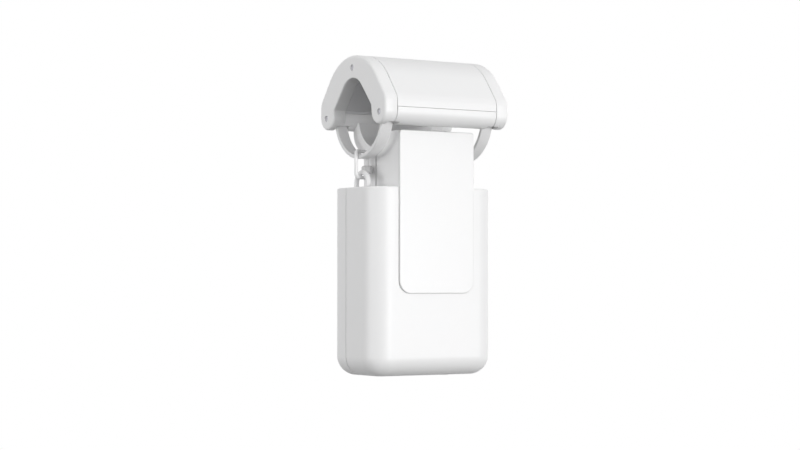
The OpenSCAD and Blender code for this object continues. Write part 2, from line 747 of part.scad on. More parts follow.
module shell_bosses(y0, y1, r) for (sx = [-1, 1], z = shell_screw_zs)
  translate([sx * shell_screw_x, 0, z]) pin_y(y0, y1, r);

module front_shell() color("white") difference() {
  union() {
    intersection() {
      body_cup();
      block([-reach, -reach, -reach], [reach, body_seam_y - fit / 2, reach]);
    }
    shell_bosses(shell_boss_y, body_seam_y - fit / 2, shell_boss_r);
    for (sx = [0, 1], z = shell_screw_zs) mirror([sx, 0, 0])
      block([shell_screw_x, shell_boss_y, z - shell_rib_t / 2],
            [body_half - body_wall / 2, body_seam_y - fit / 2, z + shell_rib_t / 2]);
  }
  shell_bosses(shell_boss_y + shell_boss_floor, reach, shell_screw_r + press);
  along_y(-reach, neck_front_y) panel_outline(fit);
  block([-neck_half - fit, -reach, neck_bottom_z - fit], [neck_half + fit, rim_way_y, reach]);
  translate([0, usb_y, 0]) usb_slot(usb_gap);
  translate([button_x, button_y, 0]) pin_z(-reach, body_bottom_z + body_wall + past, button_r + slip);
  translate([guide_x, button_y, 0]) pin_z(-reach, body_bottom_z + body_wall + past, light_r + fit);
}

// Stadium slot for the charging socket, through the bottom
module usb_slot(gap) along_z(-reach, body_bottom_z + body_wall + past)
  stadium(usb_w + 2 * gap, usb_t + 2 * gap);
module stadium(w, t) {
  translate([-w / 2 + t / 2, -t / 2]) square([w - t, t]);
  both_flat() translate([w / 2 - t / 2, 0]) circle(t / 2);
}

module rear_shell() color("white") difference() {
  union() {
    intersection() {
      body_cup();
      block([-reach, body_seam_y + fit / 2, -reach], [reach, reach, reach]);
    }
    shell_bosses(body_seam_y + fit / 2, body_rear_y - body_wall / 2, shell_boss_r);
  }
  shell_bosses(-reach, reach, shell_screw_r + press + fit);
  shell_bosses(shell_screw_y1 - shell_screw_head_t - fit, reach, shell_screw_head_r + fit);
}

module shell_screws() color("silver") {
  shell_bosses(shell_screw_y1 - shell_screw_len, shell_screw_y1 - shell_screw_head_t / 2, shell_screw_r);
  shell_bosses(shell_screw_y1 - shell_screw_head_t, shell_screw_y1, shell_screw_head_r);
}

// Lid inside the rim: a plate with two trays for the eyes and a way through for the neck
module top_deck() color("whitesmoke") difference() {
  union() {
    along_z(deck_z - deck_t, deck_z) body_plan(body_wall + fit);
    for (sx = [0, 1]) mirror([sx, 0, 0])
      block([well_x0 - well_wall, well_y0 - well_wall, well_floor_z - well_wall],
            [well_x1 + well_wall, well_y1 + well_wall, deck_z]);
  }
  for (sx = [0, 1]) mirror([sx, 0, 0])
    block([well_x0, well_y0, well_floor_z], [well_x1, well_y1, reach]);
  block([-neck_half - slip, -reach, -reach], [neck_half + slip, arm_rear_y + slip, reach]);
}

// Channels that the arm's two rails slide in
module slide_guides() color("gainsboro") for (sx = [0, 1]) mirror([sx, 0, 0]) difference() {
  block([arm_rail_x - guide_lip, arm_front_y + guide_mouth, arm_foot_z - past],
        [neck_half + slip + guide_t, arm_rear_y + slip + guide_t, guide_top_z]);
  block([0, -reach, -reach], [neck_half + slip, arm_rear_y + slip, reach]);
}

// Gearbox plates: outlines in (X, Z), narrower below the neck
module gearbox_outline(bottom_z) translate([-gearbox_half_w, bottom_z])
  square([2 * gearbox_half_w, gearbox_top_z - bottom_z]);
module at_wheels() for (sx = [-1, 1]) translate([sx * wheel_x, wheel_z]) children();
module at_posts() for (spot = post_spots) translate(spot) children();

module gearbox_front_plate() color("lightgray")
  along_y(front_plate_y, front_plate_y + plate_t) difference() {
  gearbox_outline(gearbox_bottom_z);
  at_wheels() circle(bush_r + press);
  at_posts() circle(post_neck_r);
  translate([0, idler_z]) circle(idler_axle_r + press);
}

module gearbox_mid_plate() color("lightgray") along_y(mid_plate_y, mid_plate_y + plate_t) difference() {
  gearbox_outline(gearbox_bottom_z);
  at_wheels() circle(wheel_axle_r + axle_room);
  at_posts() circle(post_neck_r);
  translate([0, idler_z]) circle(idler_axle_r + press);
  translate([0, pinion_z]) {
    circle(motor_boss_r + fit);
    both_flat() translate([motor_screw_x, 0]) circle(motor_screw_r + press);
  }
}

module gearbox_rear_plate() color("lightgray") along_y(rear_plate_y, rear_plate_y + plate_t) difference() {
  gearbox_outline(idler_z - rear_plate_foot);
  at_wheels() circle(bush_r + press);
  at_posts() circle(post_neck_r);
  translate([0, idler_z]) circle(idler_axle_r + press);
}

// Spacers between the plates, each with a thinner end through them
module gearbox_posts() color("silver") for (spot = post_spots) translate([spot.x, 0, spot.y]) {
  pin_y(front_plate_y + plate_t, mid_plate_y, post_r);
  pin_y(motor_face_y, spot.y < idler_z ? motor_face_y + post_tail : rear_plate_y, post_r);
  pin_y(front_plate_y, spot.y < idler_z ? motor_face_y + past : rear_plate_y + plate_t,
        post_neck_r - press);
}

// Flanged bushes in the front and rear plates
module axle_bushes() color("darkgoldenrod") for (sx = [-1, 1]) translate([sx * wheel_x, 0, wheel_z])
  difference() {
    union() {
      pin_y(front_plate_y, front_plate_y + plate_t, bush_r);
      pin_y(front_plate_y + plate_t, front_plate_y + plate_t + bush_flange_t, bush_flange_r);
      pin_y(rear_plate_y, rear_plate_y + plate_t, bush_r);
    }
    pin_y(-reach / 2, reach / 2, wheel_axle_r + run);
  }

module wheel_axle(sx) translate([sx * wheel_x, 0, wheel_z])
  pin_y(front_plate_y, rear_plate_y + plate_t, wheel_axle_r);
module wheel_axle_left() color("silver") wheel_axle(-1);
module wheel_axle_right() color("silver") wheel_axle(1);

// Plain hub with the tyre round it
tyre_t = 2.4;
hub_r = wheel_r - tyre_t;
module wheel_hub(sx) translate([sx * wheel_x, 0, wheel_z]) rotate([90, 0, 0]) rotate_extrude() {
  translate([wheel_axle_r + press, -wheel_w / 2]) square([hub_r - wheel_axle_r - press, wheel_w]);
}
module wheel_hub_left() color("gainsboro") wheel_hub(-1);
module wheel_hub_right() color("gainsboro") wheel_hub(1);

module tyre(sx) translate([sx * wheel_x, 0, wheel_z]) hollow_tread(wheel_r, wheel_w, hub_r + press);
module tyre_left() color("dimgray") tyre(-1);
module tyre_right() color("dimgray") tyre(1);

// Spur gear on an axis along Y, at a place in (X, Z)
module spur_gear(at, teeth, start, bore, y0, y1) along_y(y0, y1) translate(at) difference() {
  polygon(gear_points(teeth, start));
  circle(bore);
}
module wheel_gear_left() color("ivory")
  spur_gear([-wheel_x, wheel_z], wheel_teeth, left_start, wheel_axle_r + press, gear_y, gear_y + gear_w);
module wheel_gear_right() color("ivory")
  spur_gear([wheel_x, wheel_z], wheel_teeth, right_start, wheel_axle_r + press, gear_y, gear_y + gear_w);
module idler_gear() color("ivory")
  spur_gear([0, idler_z], idler_teeth, idler_start, idler_axle_r + run, gear_y, gear_y + gear_w);

module idler_axle() color("silver") translate([0, 0, idler_z])
  pin_y(front_plate_y, rear_plate_y + plate_t, idler_axle_r);

// Motor can with its face on the mid plate and a stub for the cable end
motor_stub = 1.6;
motor_boss_r = 3.1;
motor_boss_sunk = 0.2; // the boss ends a little inside the mid plate
motor_shaft_r = 1.2;
motor_shaft_in = 5.5;
motor_screw_x = 7;
motor_screw_r = 1;
motor_screw_in = 2.5;
motor_screw_proud = 0.2;
motor_hole_over = 0.5; // how much deeper a hole in the motor is than what goes in
module motor() color("darkgray") translate([0, 0, pinion_z]) difference() {
  union() {
    pin_y(motor_face_y, motor_face_y + motor_len - motor_stub, motor_d / 2);
    pin_y(motor_face_y + motor_len - motor_stub, motor_face_y + motor_len, motor_d / 4);
    pin_y(mid_plate_y + motor_boss_sunk, motor_face_y, motor_boss_r);
  }
  pin_y(-reach, motor_face_y + motor_shaft_in + motor_hole_over, motor_shaft_r + fit);
  for (sx = [-1, 1]) translate([sx * motor_screw_x, 0, 0])
    pin_y(-reach, motor_face_y + motor_screw_in + motor_hole_over, motor_screw_r + press);
}

module motor_screws() color("silver") for (sx = [-1, 1]) translate([sx * motor_screw_x, 0, pinion_z])
  pin_y(mid_plate_y - motor_screw_proud, motor_face_y + motor_screw_in, motor_screw_r);

// Pinion and its shaft turn together
module motor_pinion() color("goldenrod") {
  spur_gear([0, pinion_z], pinion_teeth, pinion_start, motor_shaft_r / 2, gear_y, gear_y + gear_w);
  translate([0, 0, pinion_z]) pin_y(gear_y, motor_face_y + motor_shaft_in, motor_shaft_r);
}

module cell_form(z) translate([0, cell_y, z]) {
  pin_x(-cell_len / 2, cell_len / 2 - cell_nub_len, cell_r);
  pin_x(cell_len / 2 - cell_nub_len, cell_len / 2, cell_nub_r);
}
module battery_cell_upper() color("steelblue") cell_form(upper_cell_z);
module battery_cell_lower() color("steelblue") cell_form(lower_cell_z);

// End caps and a web between the cells
holder_x = cell_len / 2 + contact_t + fit;
module battery_holder() color("dimgray") {
  for (sx = [0, 1]) mirror([sx, 0, 0])
    block([holder_x, cell_y - holder_half_d, lower_cell_z - holder_drop],
          [holder_x + holder_end_t, cell_y + holder_half_d, upper_cell_z + holder_rise]);
  block([-holder_x, cell_y - holder_web_half_d, lower_cell_z + cell_r + fit],
        [holder_x, cell_y + holder_web_half_d, upper_cell_z - cell_r - fit]);
}
module battery_contacts() color("silver") for (sx = [0, 1], z = [lower_cell_z, upper_cell_z])
  mirror([sx, 0, 0]) block([cell_len / 2 + fit / 2, cell_y - contact_half_w, z - contact_half_w],
                           [holder_x, cell_y + contact_half_w, z + contact_half_w]);

module main_board() color("seagreen") difference() {
  block([-board_w / 2, board_front_y, board_bottom_z], [board_w / 2, board_rear_y, board_top_z]);
  for (spot = board_screw_spots) translate([spot.x, 0, spot.y])
    pin_y(-reach / 2, reach / 2, board_screw_r + fit);
}
module board_screws() color("silver") for (spot = board_screw_spots) translate([spot.x, 0, spot.y]) {
  pin_y(board_front_y - board_screw_in, board_rear_y, board_screw_r);
  pin_y(board_rear_y, board_rear_y + board_head_t, board_head_r);
}
module radio_module() color("silver")
  block([radio_x0, board_front_y - radio_t, board_bottom_z + radio_foot],
        [radio_x1, board_front_y, board_bottom_z + radio_foot + radio_h]);

// Folded metal shell of the socket, open at the bottom, with its tongue inside
module usb_socket() color("silver") translate([0, usb_y, 0]) {
  along_z(usb_z, usb_z + usb_h) difference() {
    stadium(usb_w, usb_t);
    stadium(usb_w - 2 * usb_wall, usb_t - 2 * usb_wall);
  }
  along_z(usb_z + usb_h - usb_back, usb_z + usb_h) stadium(usb_w, usb_t);
  block([-usb_tongue_half_w, -usb_tongue_half_t, usb_z + usb_tongue_sunk],
        [usb_tongue_half_w, usb_tongue_half_t, usb_z + usb_h]);
}

module tact_switch() color("black")
  block([button_x - switch_half_w, board_rear_y, button_top_z + switch_gap],
        [button_x + switch_half_w, board_rear_y + switch_d, button_top_z + switch_gap + switch_h]);

// Cap through the bottom with a flange that keeps it in
module button() color("white") translate([button_x, button_y, 0]) {
  pin_z(body_bottom_z - button_proud, button_top_z, button_stem_r);
  pin_z(body_bottom_z - button_proud, body_bottom_z + body_wall + button_flange_t, button_r);
  pin_z(button_flange_z, button_flange_z + button_flange_t, button_flange_r);
}

module light_guide() color("ghostwhite") translate([guide_x, button_y, 0])
  pin_z(body_bottom_z + guide_sunk, board_bottom_z + guide_in, light_r);

// Coil spring between the arm's lug and its anchor: a helix swept as rings of six points
spring_steps = 8;
spring_sides = 6;
coil_top_z = spring_top_z - spring_wire / 2 - run;
coil_low_z = spring_anchor_z + spring_wire / 2 + run;
spring_rise = (coil_top_z - coil_low_z) / spring_turns;
echo(spring_self_gap = spring_rise - spring_wire);
function coil_ring(t) =
  let (out = [cos(360 * t), sin(360 * t), 0])
  [for (k = [0:spring_sides - 1], a = [360 * k / spring_sides])
    [0, 0, coil_low_z + spring_rise * t + spring_wire / 2 * sin(a)]
    + (spring_coil_r + spring_wire / 2 * cos(a)) * out];
module spring_form(sx) translate([sx * spring_x, spring_y, 0]) {
  rings = spring_turns * spring_steps;
  points = [for (i = [0:rings]) each coil_ring(i / spring_steps)];
  sides = [for (i = [0:rings - 1], k = [0:spring_sides - 1],
                a = [i * spring_sides + k], b = [i * spring_sides + (k + 1) % spring_sides])
    each [[a, a + spring_sides, b + spring_sides], [a, b + spring_sides, b]]];
  low_end = [for (k = [0:spring_sides - 1]) k];
  top_end = [for (k = [spring_sides - 1:-1:0]) rings * spring_sides + k];
  polyhedron(points, concat(sides, [low_end, top_end]));
}
module slide_spring_left() color("silver") spring_form(-1);
module slide_spring_right() color("silver") spring_form(1);

module spring_anchors() color("gainsboro") for (sx = [-1, 1]) translate([sx * spring_x, spring_y, 0])
  block([-spring_anchor_half_w, -spring_anchor_half_d, body_bottom_z + body_wall + fit],
        [spring_anchor_half_w, spring_anchor_half_d, spring_anchor_z]);

hook_cover();
hook_core();
hook_front_rail();
hook_rear_rail();
end_plate_left();
end_plate_right();
end_plate_screws();
slide_arm();
arm_screws();
roller_axles();
roller_left();
roller_right();
ring_left();
ring_right();
link_left();
link_right();
link_sleeve_left();
link_sleeve_right();
eye_left();
eye_right();
neck_cover();
front_panel();
front_shell();
rear_shell();
top_deck();
slide_guides();
shell_screws();
gearbox_front_plate();
gearbox_mid_plate();
gearbox_rear_plate();
gearbox_posts();
axle_bushes();
wheel_axle_left();
wheel_axle_right();
wheel_hub_left();
wheel_hub_right();
tyre_left();
tyre_right();
wheel_gear_left();
wheel_gear_right();
idler_axle();
idler_gear();
motor();
motor_screws();
motor_pinion();
battery_cell_upper();
battery_cell_lower();
battery_holder();
battery_contacts();
main_board();
radio_module();
usb_socket();
tact_switch();
button();
light_guide();
board_screws();
slide_spring_left();
slide_spring_right();
spring_anchors();
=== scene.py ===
import math

import bmesh
import bpy
import numpy as np
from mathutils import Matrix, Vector
from mathutils.geometry import tessellate_polygon


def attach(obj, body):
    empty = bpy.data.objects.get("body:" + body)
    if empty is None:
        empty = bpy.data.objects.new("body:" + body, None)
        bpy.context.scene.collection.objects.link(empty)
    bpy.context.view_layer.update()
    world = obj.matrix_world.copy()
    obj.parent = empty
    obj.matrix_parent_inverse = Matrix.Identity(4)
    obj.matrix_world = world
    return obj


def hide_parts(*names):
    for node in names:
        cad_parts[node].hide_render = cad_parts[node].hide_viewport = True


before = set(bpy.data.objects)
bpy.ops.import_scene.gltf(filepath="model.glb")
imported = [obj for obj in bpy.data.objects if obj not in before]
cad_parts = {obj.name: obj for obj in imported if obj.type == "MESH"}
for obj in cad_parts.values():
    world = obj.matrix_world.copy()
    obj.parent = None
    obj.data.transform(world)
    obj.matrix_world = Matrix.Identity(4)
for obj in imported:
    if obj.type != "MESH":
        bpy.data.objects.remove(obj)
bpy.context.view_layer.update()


# Neck and slide arm: the fixed front half of the neck and the rear half that carries the arch.
# Both are injection moulded in white satin plastic with a very fine spark-eroded grain.
# They keep their solid shapes and get the white plastic that every outer piece shares.
class Signal:
    """A shader socket that can be used in sums: a + b, 1 - a and a * b each add one Math node."""

    def __init__(self, tree, socket):
        self.tree = tree
        self.socket = socket

    def math(self, operation, first, second):
        return self.node("ShaderNodeMath", {"operation": operation}, {0: first, 1: second})

    def node(self, kind, settings, inputs, output=0):
        """Adds a node of that kind, sets it up, feeds its sockets and returns one output."""
        made = self.tree.nodes.new(kind)
        for name, value in settings.items():
            setattr(made, name, value)
        for name, value in inputs.items():
            if isinstance(value, Signal):
                self.tree.links.new(value.socket, made.inputs[name])
            else:
                made.inputs[name].default_value = value
        return Signal(self.tree, made.outputs[output])

    def __add__(self, other):
        return self.math("ADD", self, other)

    __radd__ = __add__

    def __sub__(self, other):
        return self.math("SUBTRACT", self, other)

    def __rsub__(self, other):
        return self.math("SUBTRACT", other, self)

    def __mul__(self, other):
        return self.math("MULTIPLY", self, other)

    __rmul__ = __mul__

    def mixed(self, low, high):
        """A colour that goes from low to high as this signal goes from 0 to 1."""
        return self.node("ShaderNodeMix", {"data_type": "RGBA"}, {0: self, 6: low, 7: high}, 2)


def new_finish(name):
    """An empty material with its shader: returns the material, its Principled node and where it is."""
    material = bpy.data.materials.new(name)
    material.use_nodes = True
    tree = material.node_tree
    place = Signal(tree, tree.nodes.new("ShaderNodeTexCoord").outputs["Object"])
    return material, tree.nodes["Principled BSDF"], place


def feed(shader, **signals):
    """Links each signal to the shader's socket of that name, with _ for a space."""
    for name, signal in signals.items():
        signal.tree.links.new(signal.socket, shader.inputs[name.replace("_", " ")])


def shade(colour, share):
    """A colour made darker or lighter by a share, as four values."""
    return [min(1, value * share) for value in colour] + [1]


def moulded_plastic(name, colour, roughness, grain=0.06, cloud=0.012, swing=0.08):
    """Moulded plastic: slow clouds shift its tone and gloss a little, and a fine grain lifts it."""
    material, shader, place = new_finish(name)
    slow = place.node("ShaderNodeTexNoise", {}, {"Vector": place, "Scale": 45.0, "Detail": 3.0})
    fine = place.node("ShaderNodeTexNoise", {}, {"Vector": place, "Scale": 3200.0, "Detail": 2.0})
    tone = slow.mixed(shade(colour, 1 - cloud), shade(colour, 1 + cloud))
    bump = place.node("ShaderNodeBump", {}, {"Height": fine, "Strength": grain, "Distance": 0.00005})
    feed(shader, Base_Color=tone, Roughness=roughness - swing / 2 + swing * slow, Normal=bump)
    return material


white_plastic = moulded_plastic("white_satin_plastic", (0.86, 0.86, 0.86), 0.38)


def paint(nodes, material):
    """Gives the named solids one material."""
    for node in nodes.split():
        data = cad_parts[node].data
        data.materials.clear()
        data.materials.append(material)


paint("neck_cover slide_arm hook_rear_rail", white_plastic)


# Drive: rubber tyres on grey hubs, hollow rollers, a moulded gear train, turned axles and brass bushes.
# They sit between the gearbox plates, where only the treads show from the passage.
def turned_metal(name, colour, roughness, cloud=0.08, swing=0.16):
    """Plated or turned metal: fine streaks change its gloss, and a slow cloud its tone."""
    material, shader, place = new_finish(name)
    streak = place.node("ShaderNodeTexNoise", {}, {"Vector": place, "Scale": 900.0, "Detail": 4.0})
    slow = place.node("ShaderNodeTexNoise", {}, {"Vector": place, "Scale": 60.0})
    shader.inputs["Metallic"].default_value = 1.0
    tone = slow.mixed(shade(colour, 1 - cloud), shade(colour, 1))
    feed(shader, Base_Color=tone, Roughness=roughness - swing / 2 + swing * streak)
    return material


def ground_rubber(name, colour, roughness=0.78, swing=0.14):
    """Ground rubber: a matte speckle with a coarse grain."""
    material, shader, place = new_finish(name)
    speck = place.node("ShaderNodeTexNoise", {}, {"Vector": place, "Scale": 2600.0, "Detail": 4.0})
    bump = place.node("ShaderNodeBump", {}, {"Height": speck, "Strength": 0.35, "Distance": 0.0001})
    tone = speck.mixed(shade(colour, 0.8), shade(colour, 1.25))
    feed(shader, Base_Color=tone, Roughness=roughness + swing * speck, Normal=bump)
    return material


bright_steel = turned_metal("bright_steel", (0.72, 0.72, 0.74), 0.3)
brass = turned_metal("turned_brass", (0.75, 0.6, 0.32), 0.28)
grey_plastic = moulded_plastic("grey_roller_plastic", (0.35, 0.35, 0.36), 0.45)
gear_plastic = moulded_plastic("gear_plastic", (0.86, 0.83, 0.74), 0.42)
pale_plastic = moulded_plastic("pale_inner_plastic", (0.72, 0.72, 0.73), 0.48)
paint("tyre_left tyre_right", ground_rubber("tyre_rubber", (0.2, 0.2, 0.21)))
paint("roller_left roller_right", grey_plastic)
paint("wheel_gear_left wheel_gear_right idler_gear", gear_plastic)
paint("axle_bushes motor_pinion", brass)
paint("wheel_hub_left wheel_hub_right hook_core top_deck slide_guides spring_anchors", pale_plastic)
paint("roller_axles wheel_axle_left wheel_axle_right idler_axle", bright_steel)
paint("gearbox_front_plate gearbox_mid_plate gearbox_rear_plate gearbox_posts", bright_steel)
paint("motor motor_screws arm_screws slide_spring_left slide_spring_right", bright_steel)


# Power and control: two wrapped cells in a black holder, the circuit board and what is soldered to it.
# All of it is closed in by the two shells.
def lacquered_board(name, colour, roughness=0.32, swing=0.1):
    """Lacquered circuit board: copper tracks lie under the lacquer as a lighter grid of squares."""
    material, shader, place = new_finish(name)
    black, white = (0, 0, 0, 1), (1, 1, 1, 1)
    lines = {"Vector": place, "Scale": 260.0, "Mortar Size": 0.06}
    colours = {"Color1": black, "Color2": black, "Mortar": white}
    tracks = place.node("ShaderNodeTexBrick", {"offset": 0.5}, lines | colours)
    tone = tracks.mixed(shade(colour, 1), shade(colour, 1.6))
    feed(shader, Base_Color=tone, Roughness=roughness + swing * tracks)
    return material


black_plastic = moulded_plastic("black_holder_plastic", (0.05, 0.05, 0.05), 0.5)
paint("battery_cell_upper battery_cell_lower", moulded_plastic("cell_wrap", (0.16, 0.36, 0.62), 0.25))
paint("battery_holder tact_switch", black_plastic)
paint("main_board", lacquered_board("green_board", (0.05, 0.26, 0.14)))
paint("light_guide", moulded_plastic("clear_guide", (0.88, 0.9, 0.92), 0.15))
paint("battery_contacts radio_module usb_socket board_screws", bright_steel)


# End plates: a thick cap of white plastic on each end of the arch, shaped as a horseshoe round the passage.
# The outer edge has a soft radius, and the feet have a slot where the ring's band comes out of its groove.
# Three small screws in sunk holes hold it.
MM = 0.001
SAME_PLACE = 0.0001 * MM
EDGE_CARE = 0.001 * MM
ARCH_END = 36.6 * MM
ARCH_SEAM = 29.6 * MM
CROWN_R = 27.9 * MM
SIDE = 31 * MM
SHOULDER_R = 6.9 * MM
SHOULDER_Z = 3.2 * MM
FOOT_R = 6.65 * MM
FOOT_Z = -1.1 * MM
INNER_R = 11 * MM
INNER_Z = 5.5 * MM
INNER_TURN = 41
SLOT_SIDES = (19.5 * MM, 28 * MM)
SLOT_TOP = -5.55 * MM
SLOT_INNER = 26.25 * MM
SLOT_OUTER = 33.25 * MM
SLOT_STEPS = 14
GROOVE_RADII = (21.15 * MM, 23.75 * MM)
GROOVE_ENDS = {1: 78, -1: -8}  # degrees up from level, at the rear and at the front
GROOVE_STEPS = 32
SCREW_R = 1.57 * MM
SCREW_DEEP = 1.2 * MM
PLATE_EDGE = 1.1 * MM
PLATE_INNER_EDGE = 0.5 * MM
PLATE_SEAM_EDGE = 0.25 * MM
SEAM_STEPS = ((0, 1), (0.4, 1 / 3), (1.2, 0))  # how far from the seam, and how much of the edge is left
EDGE_BORDER = 1.15  # where the flat border of a round edge ends, as a share of the edge
# where the screws are, in (Y, Z)
SCREW_SPOTS = ((0, 21.8 * MM), (25.1 * MM, -1.9 * MM), (-25.1 * MM, -1.9 * MM))

shoulder_y = SIDE - SHOULDER_R
foot_y = SIDE - FOOT_R
wall_y = foot_y - FOOT_R
to_shoulder = math.hypot(shoulder_y, SHOULDER_Z)
lean = math.atan2(SHOULDER_Z, shoulder_y) + math.acos((CROWN_R - SHOULDER_R) / to_shoulder)
FLANK_TURN = math.degrees(lean)
slot_turns = [-math.degrees(math.acos((y - foot_y) / FOOT_R)) for y in SLOT_SIDES[::-1]]


def arc(centre, radius, start, end, steps):
    """Points on a circle about a centre, from one angle to another in degrees."""
    turn = np.radians(np.linspace(start, end, steps + 1))
    return np.stack([centre[0] + radius * np.cos(turn), centre[1] + radius * np.sin(turn)], 1)


def grid_faces(rows, columns, closed=False):
    """Quads of a grid of points stored row by row; a closed grid joins its last column to its first."""
    across = columns if closed else columns - 1
    row, column = np.meshgrid(np.arange(rows - 1), np.arange(across), indexing="ij")
    a = row * columns + column
    b = row * columns + (column + 1) % columns
    return np.stack([a, b, b + columns, a + columns], -1).reshape(-1, 4)


def grid(rows, closed=False):
    """Rows of points as a part, with a quad between each four."""
    rows = np.asarray(rows)
    return rows, grid_faces(*rows.shape[:2], closed=closed)


def cap(ring):
    """A ring of points as a part, closed by one flat face."""
    return ring, [list(range(len(ring)))]


def make_piece(name, parts, material, sharp=32):
    """One mesh from several (points, faces) parts, joined where they meet, creased past an angle."""
    points, faces, first = [], [], 0
    for part_points, part_faces in parts:
        points.append(np.asarray(part_points, float).reshape(-1, 3))
        faces += [[first + i for i in face] for face in np.asarray(part_faces, dtype=object).tolist()]
        first += len(points[-1])
    mesh = bpy.data.meshes.new(name)
    mesh.from_pydata(np.concatenate(points).tolist(), [], faces)
    close_mesh(mesh)
    mesh.polygons.foreach_set("use_smooth", np.ones(len(mesh.polygons), bool))
    mesh.set_sharp_from_angle(angle=math.radians(sharp))
    mesh.materials.append(material)
    piece = bpy.data.objects.new(name, mesh)
    bpy.context.scene.collection.objects.link(piece)
    return piece


def close_mesh(mesh):
    """Merges points that lie on each other, drops unused ones and turns all faces outwards."""
    work = bmesh.new()
    work.from_mesh(mesh)
    bmesh.ops.remove_doubles(work, verts=work.verts, dist=SAME_PLACE)
    loose = [point for point in work.verts if not point.link_faces]
    bmesh.ops.delete(work, geom=loose, context="VERTS")
    bmesh.ops.recalc_face_normals(work, faces=work.faces)
    work.to_mesh(mesh)
    work.free()


def fill(loops):
    """Triangles that close a flat outline, round the holes that the later loops give."""
    return tessellate_polygon([[Vector((*point, 0)) for point in loop] for loop in loops])


def sheet(outline):
    """A flat outline square to X as a part, closed by triangles."""
    return outline, fill([outline[:, 1:]])


def on_side(side, parts):
    """The same parts as they are for side 1, or mirrored in X for side -1."""
    return [(np.asarray(points, float).reshape(-1, 3) * [side, 1, 1], faces) for points, faces in parts]


def outward(loop):
    """Unit normals of a closed outline that runs clockwise, from each point's two neighbours."""
    along = np.roll(loop, -1, 0) - np.roll(loop, 1, 0)
    along /= np.linalg.norm(along, axis=1)[:, None]
    return np.stack([-along[:, 1], along[:, 0]], 1)


def horseshoe():
    """Outline of an end plate in (Y, Z), clockwise from the crown: arcs of the crown, shoulder and foot,
    the inner wall and the inner crown, and the same mirrored. Also gives which points lie on the inside."""
    outer = np.concatenate([
        arc((0, 0), CROWN_R, 90, FLANK_TURN, 24),
        arc((shoulder_y, SHOULDER_Z), SHOULDER_R, FLANK_TURN, 0, 12),
        arc((foot_y, FOOT_Z), FOOT_R, 0, slot_turns[0], 10),
        arc((foot_y, FOOT_Z), FOOT_R, *slot_turns, SLOT_STEPS)[1:],
        arc((foot_y, FOOT_Z), FOOT_R, slot_turns[1], -180, 8)[1:],
    ])
    turn = math.radians(INNER_TURN)
    corner_z = (INNER_R + INNER_Z * math.sin(turn) - wall_y * math.cos(turn)) / math.sin(turn)
    inner = np.concatenate([[[wall_y, corner_z]], arc((0, INNER_Z), INNER_R, INNER_TURN, 90, 16)])
    half = np.concatenate([outer, inner])
    inside = np.concatenate([np.zeros(len(outer), bool), np.ones(len(inner), bool)])
    mirrored = half[-2:0:-1] * [-1, 1]
    return np.concatenate([half, mirrored]), np.concatenate([inside, inside[-2:0:-1]])


def wall_rows(loop, softness, profile):
    """Points of a wall round an outline: each profile row is (X, share of the softness to draw in by)."""
    normals = outward(loop)
    rows = []
    for x, share in profile:
        flat = loop - normals * (softness * share)[:, None]
        rows.append(np.column_stack([np.full(len(loop), x), flat]))
    return np.array(rows)


def soft_edge(x, size, steps=6):
    """Profile of a quarter-round edge from the wall to the plane X = x, and a narrow flat border there,
    which keeps the shading of the round out of the face."""
    turn = np.linspace(0, math.pi / 2, steps)
    return [(x - size + size * math.sin(t), 1 - math.cos(t)) for t in turn] + [(x, EDGE_BORDER)]


def slot_span(loop, side):
    """First and last point of an outline at the slot in the foot on that side of Y."""
    y, z = side * loop[:, 0], loop[:, 1]
    between = (y > SLOT_SIDES[0] - EDGE_CARE) & (y < SLOT_SIDES[1] + EDGE_CARE)
    found = np.flatnonzero(between & (z < SLOT_TOP))
    return found[0], found[-1]


def slot_roof(under):
    """Points over each row of a slot's mouth: level beside the groove that the band turns in, and up one
    side of the groove and down the other between."""
    side = int(np.sign(under[0, 0, 1]))
    level = under[:, ::side] * [1, side, 0] + [0, 0, SLOT_TOP]
    starts = [math.degrees(math.asin(SLOT_TOP / radius)) for radius in GROOVE_RADII]
    inner, outer = (arc((0, 0), radius, start, GROOVE_ENDS[side], GROOVE_STEPS)
                    for radius, start in zip(GROOVE_RADII, starts))
    groove = np.concatenate([outer, inner[::-1]])
    laid = np.array([np.column_stack([np.full(len(groove), row[0, 0]), groove]) for row in level])
    reach = level[-1, :, 1]
    roof = np.concatenate([level[:, reach > outer[0, 0]], laid, level[:, reach < inner[0, 0]]], 1)
    return roof[:, ::side] * [1, side, 1]


def slot_sheets(rows, span, closed_row):
    """Sides, roof and closed end of a slot, from the wall's own points round its mouth."""
    under = rows[:, span[0]:span[1] + 1]
    roof = slot_roof(under)
    sides = [grid([under[:, i], roof[:, i]]) for i in (0, -1)]
    end = np.concatenate([under[closed_row], roof[closed_row, ::-1]])
    return sides + [sheet(end), grid(roof)]


def notched(row, spans):
    """Outline of a wall's end where it runs up round each slot and its groove instead of along the foot."""
    pieces, start = [], 0
    for first, last in sorted(spans):
        roof = slot_roof(row[None, first:last + 1])[0]
        pieces += [row[start:first + 1], roof]
        start = last
    return np.concatenate(pieces + [row[start:]])


def slotted_faces(rows, spans, in_reach):
    """Faces of a closed wall without those between a slot's first and last point in the rows it reaches."""
    column = np.arange(rows.shape[1])
    at_slot = np.any([(column >= first) & (column < last) for first, last in spans], 0)
    open_faces = (in_reach[:, None] & at_slot).ravel()
    return grid_faces(*rows.shape[:2], closed=True)[~open_faces]


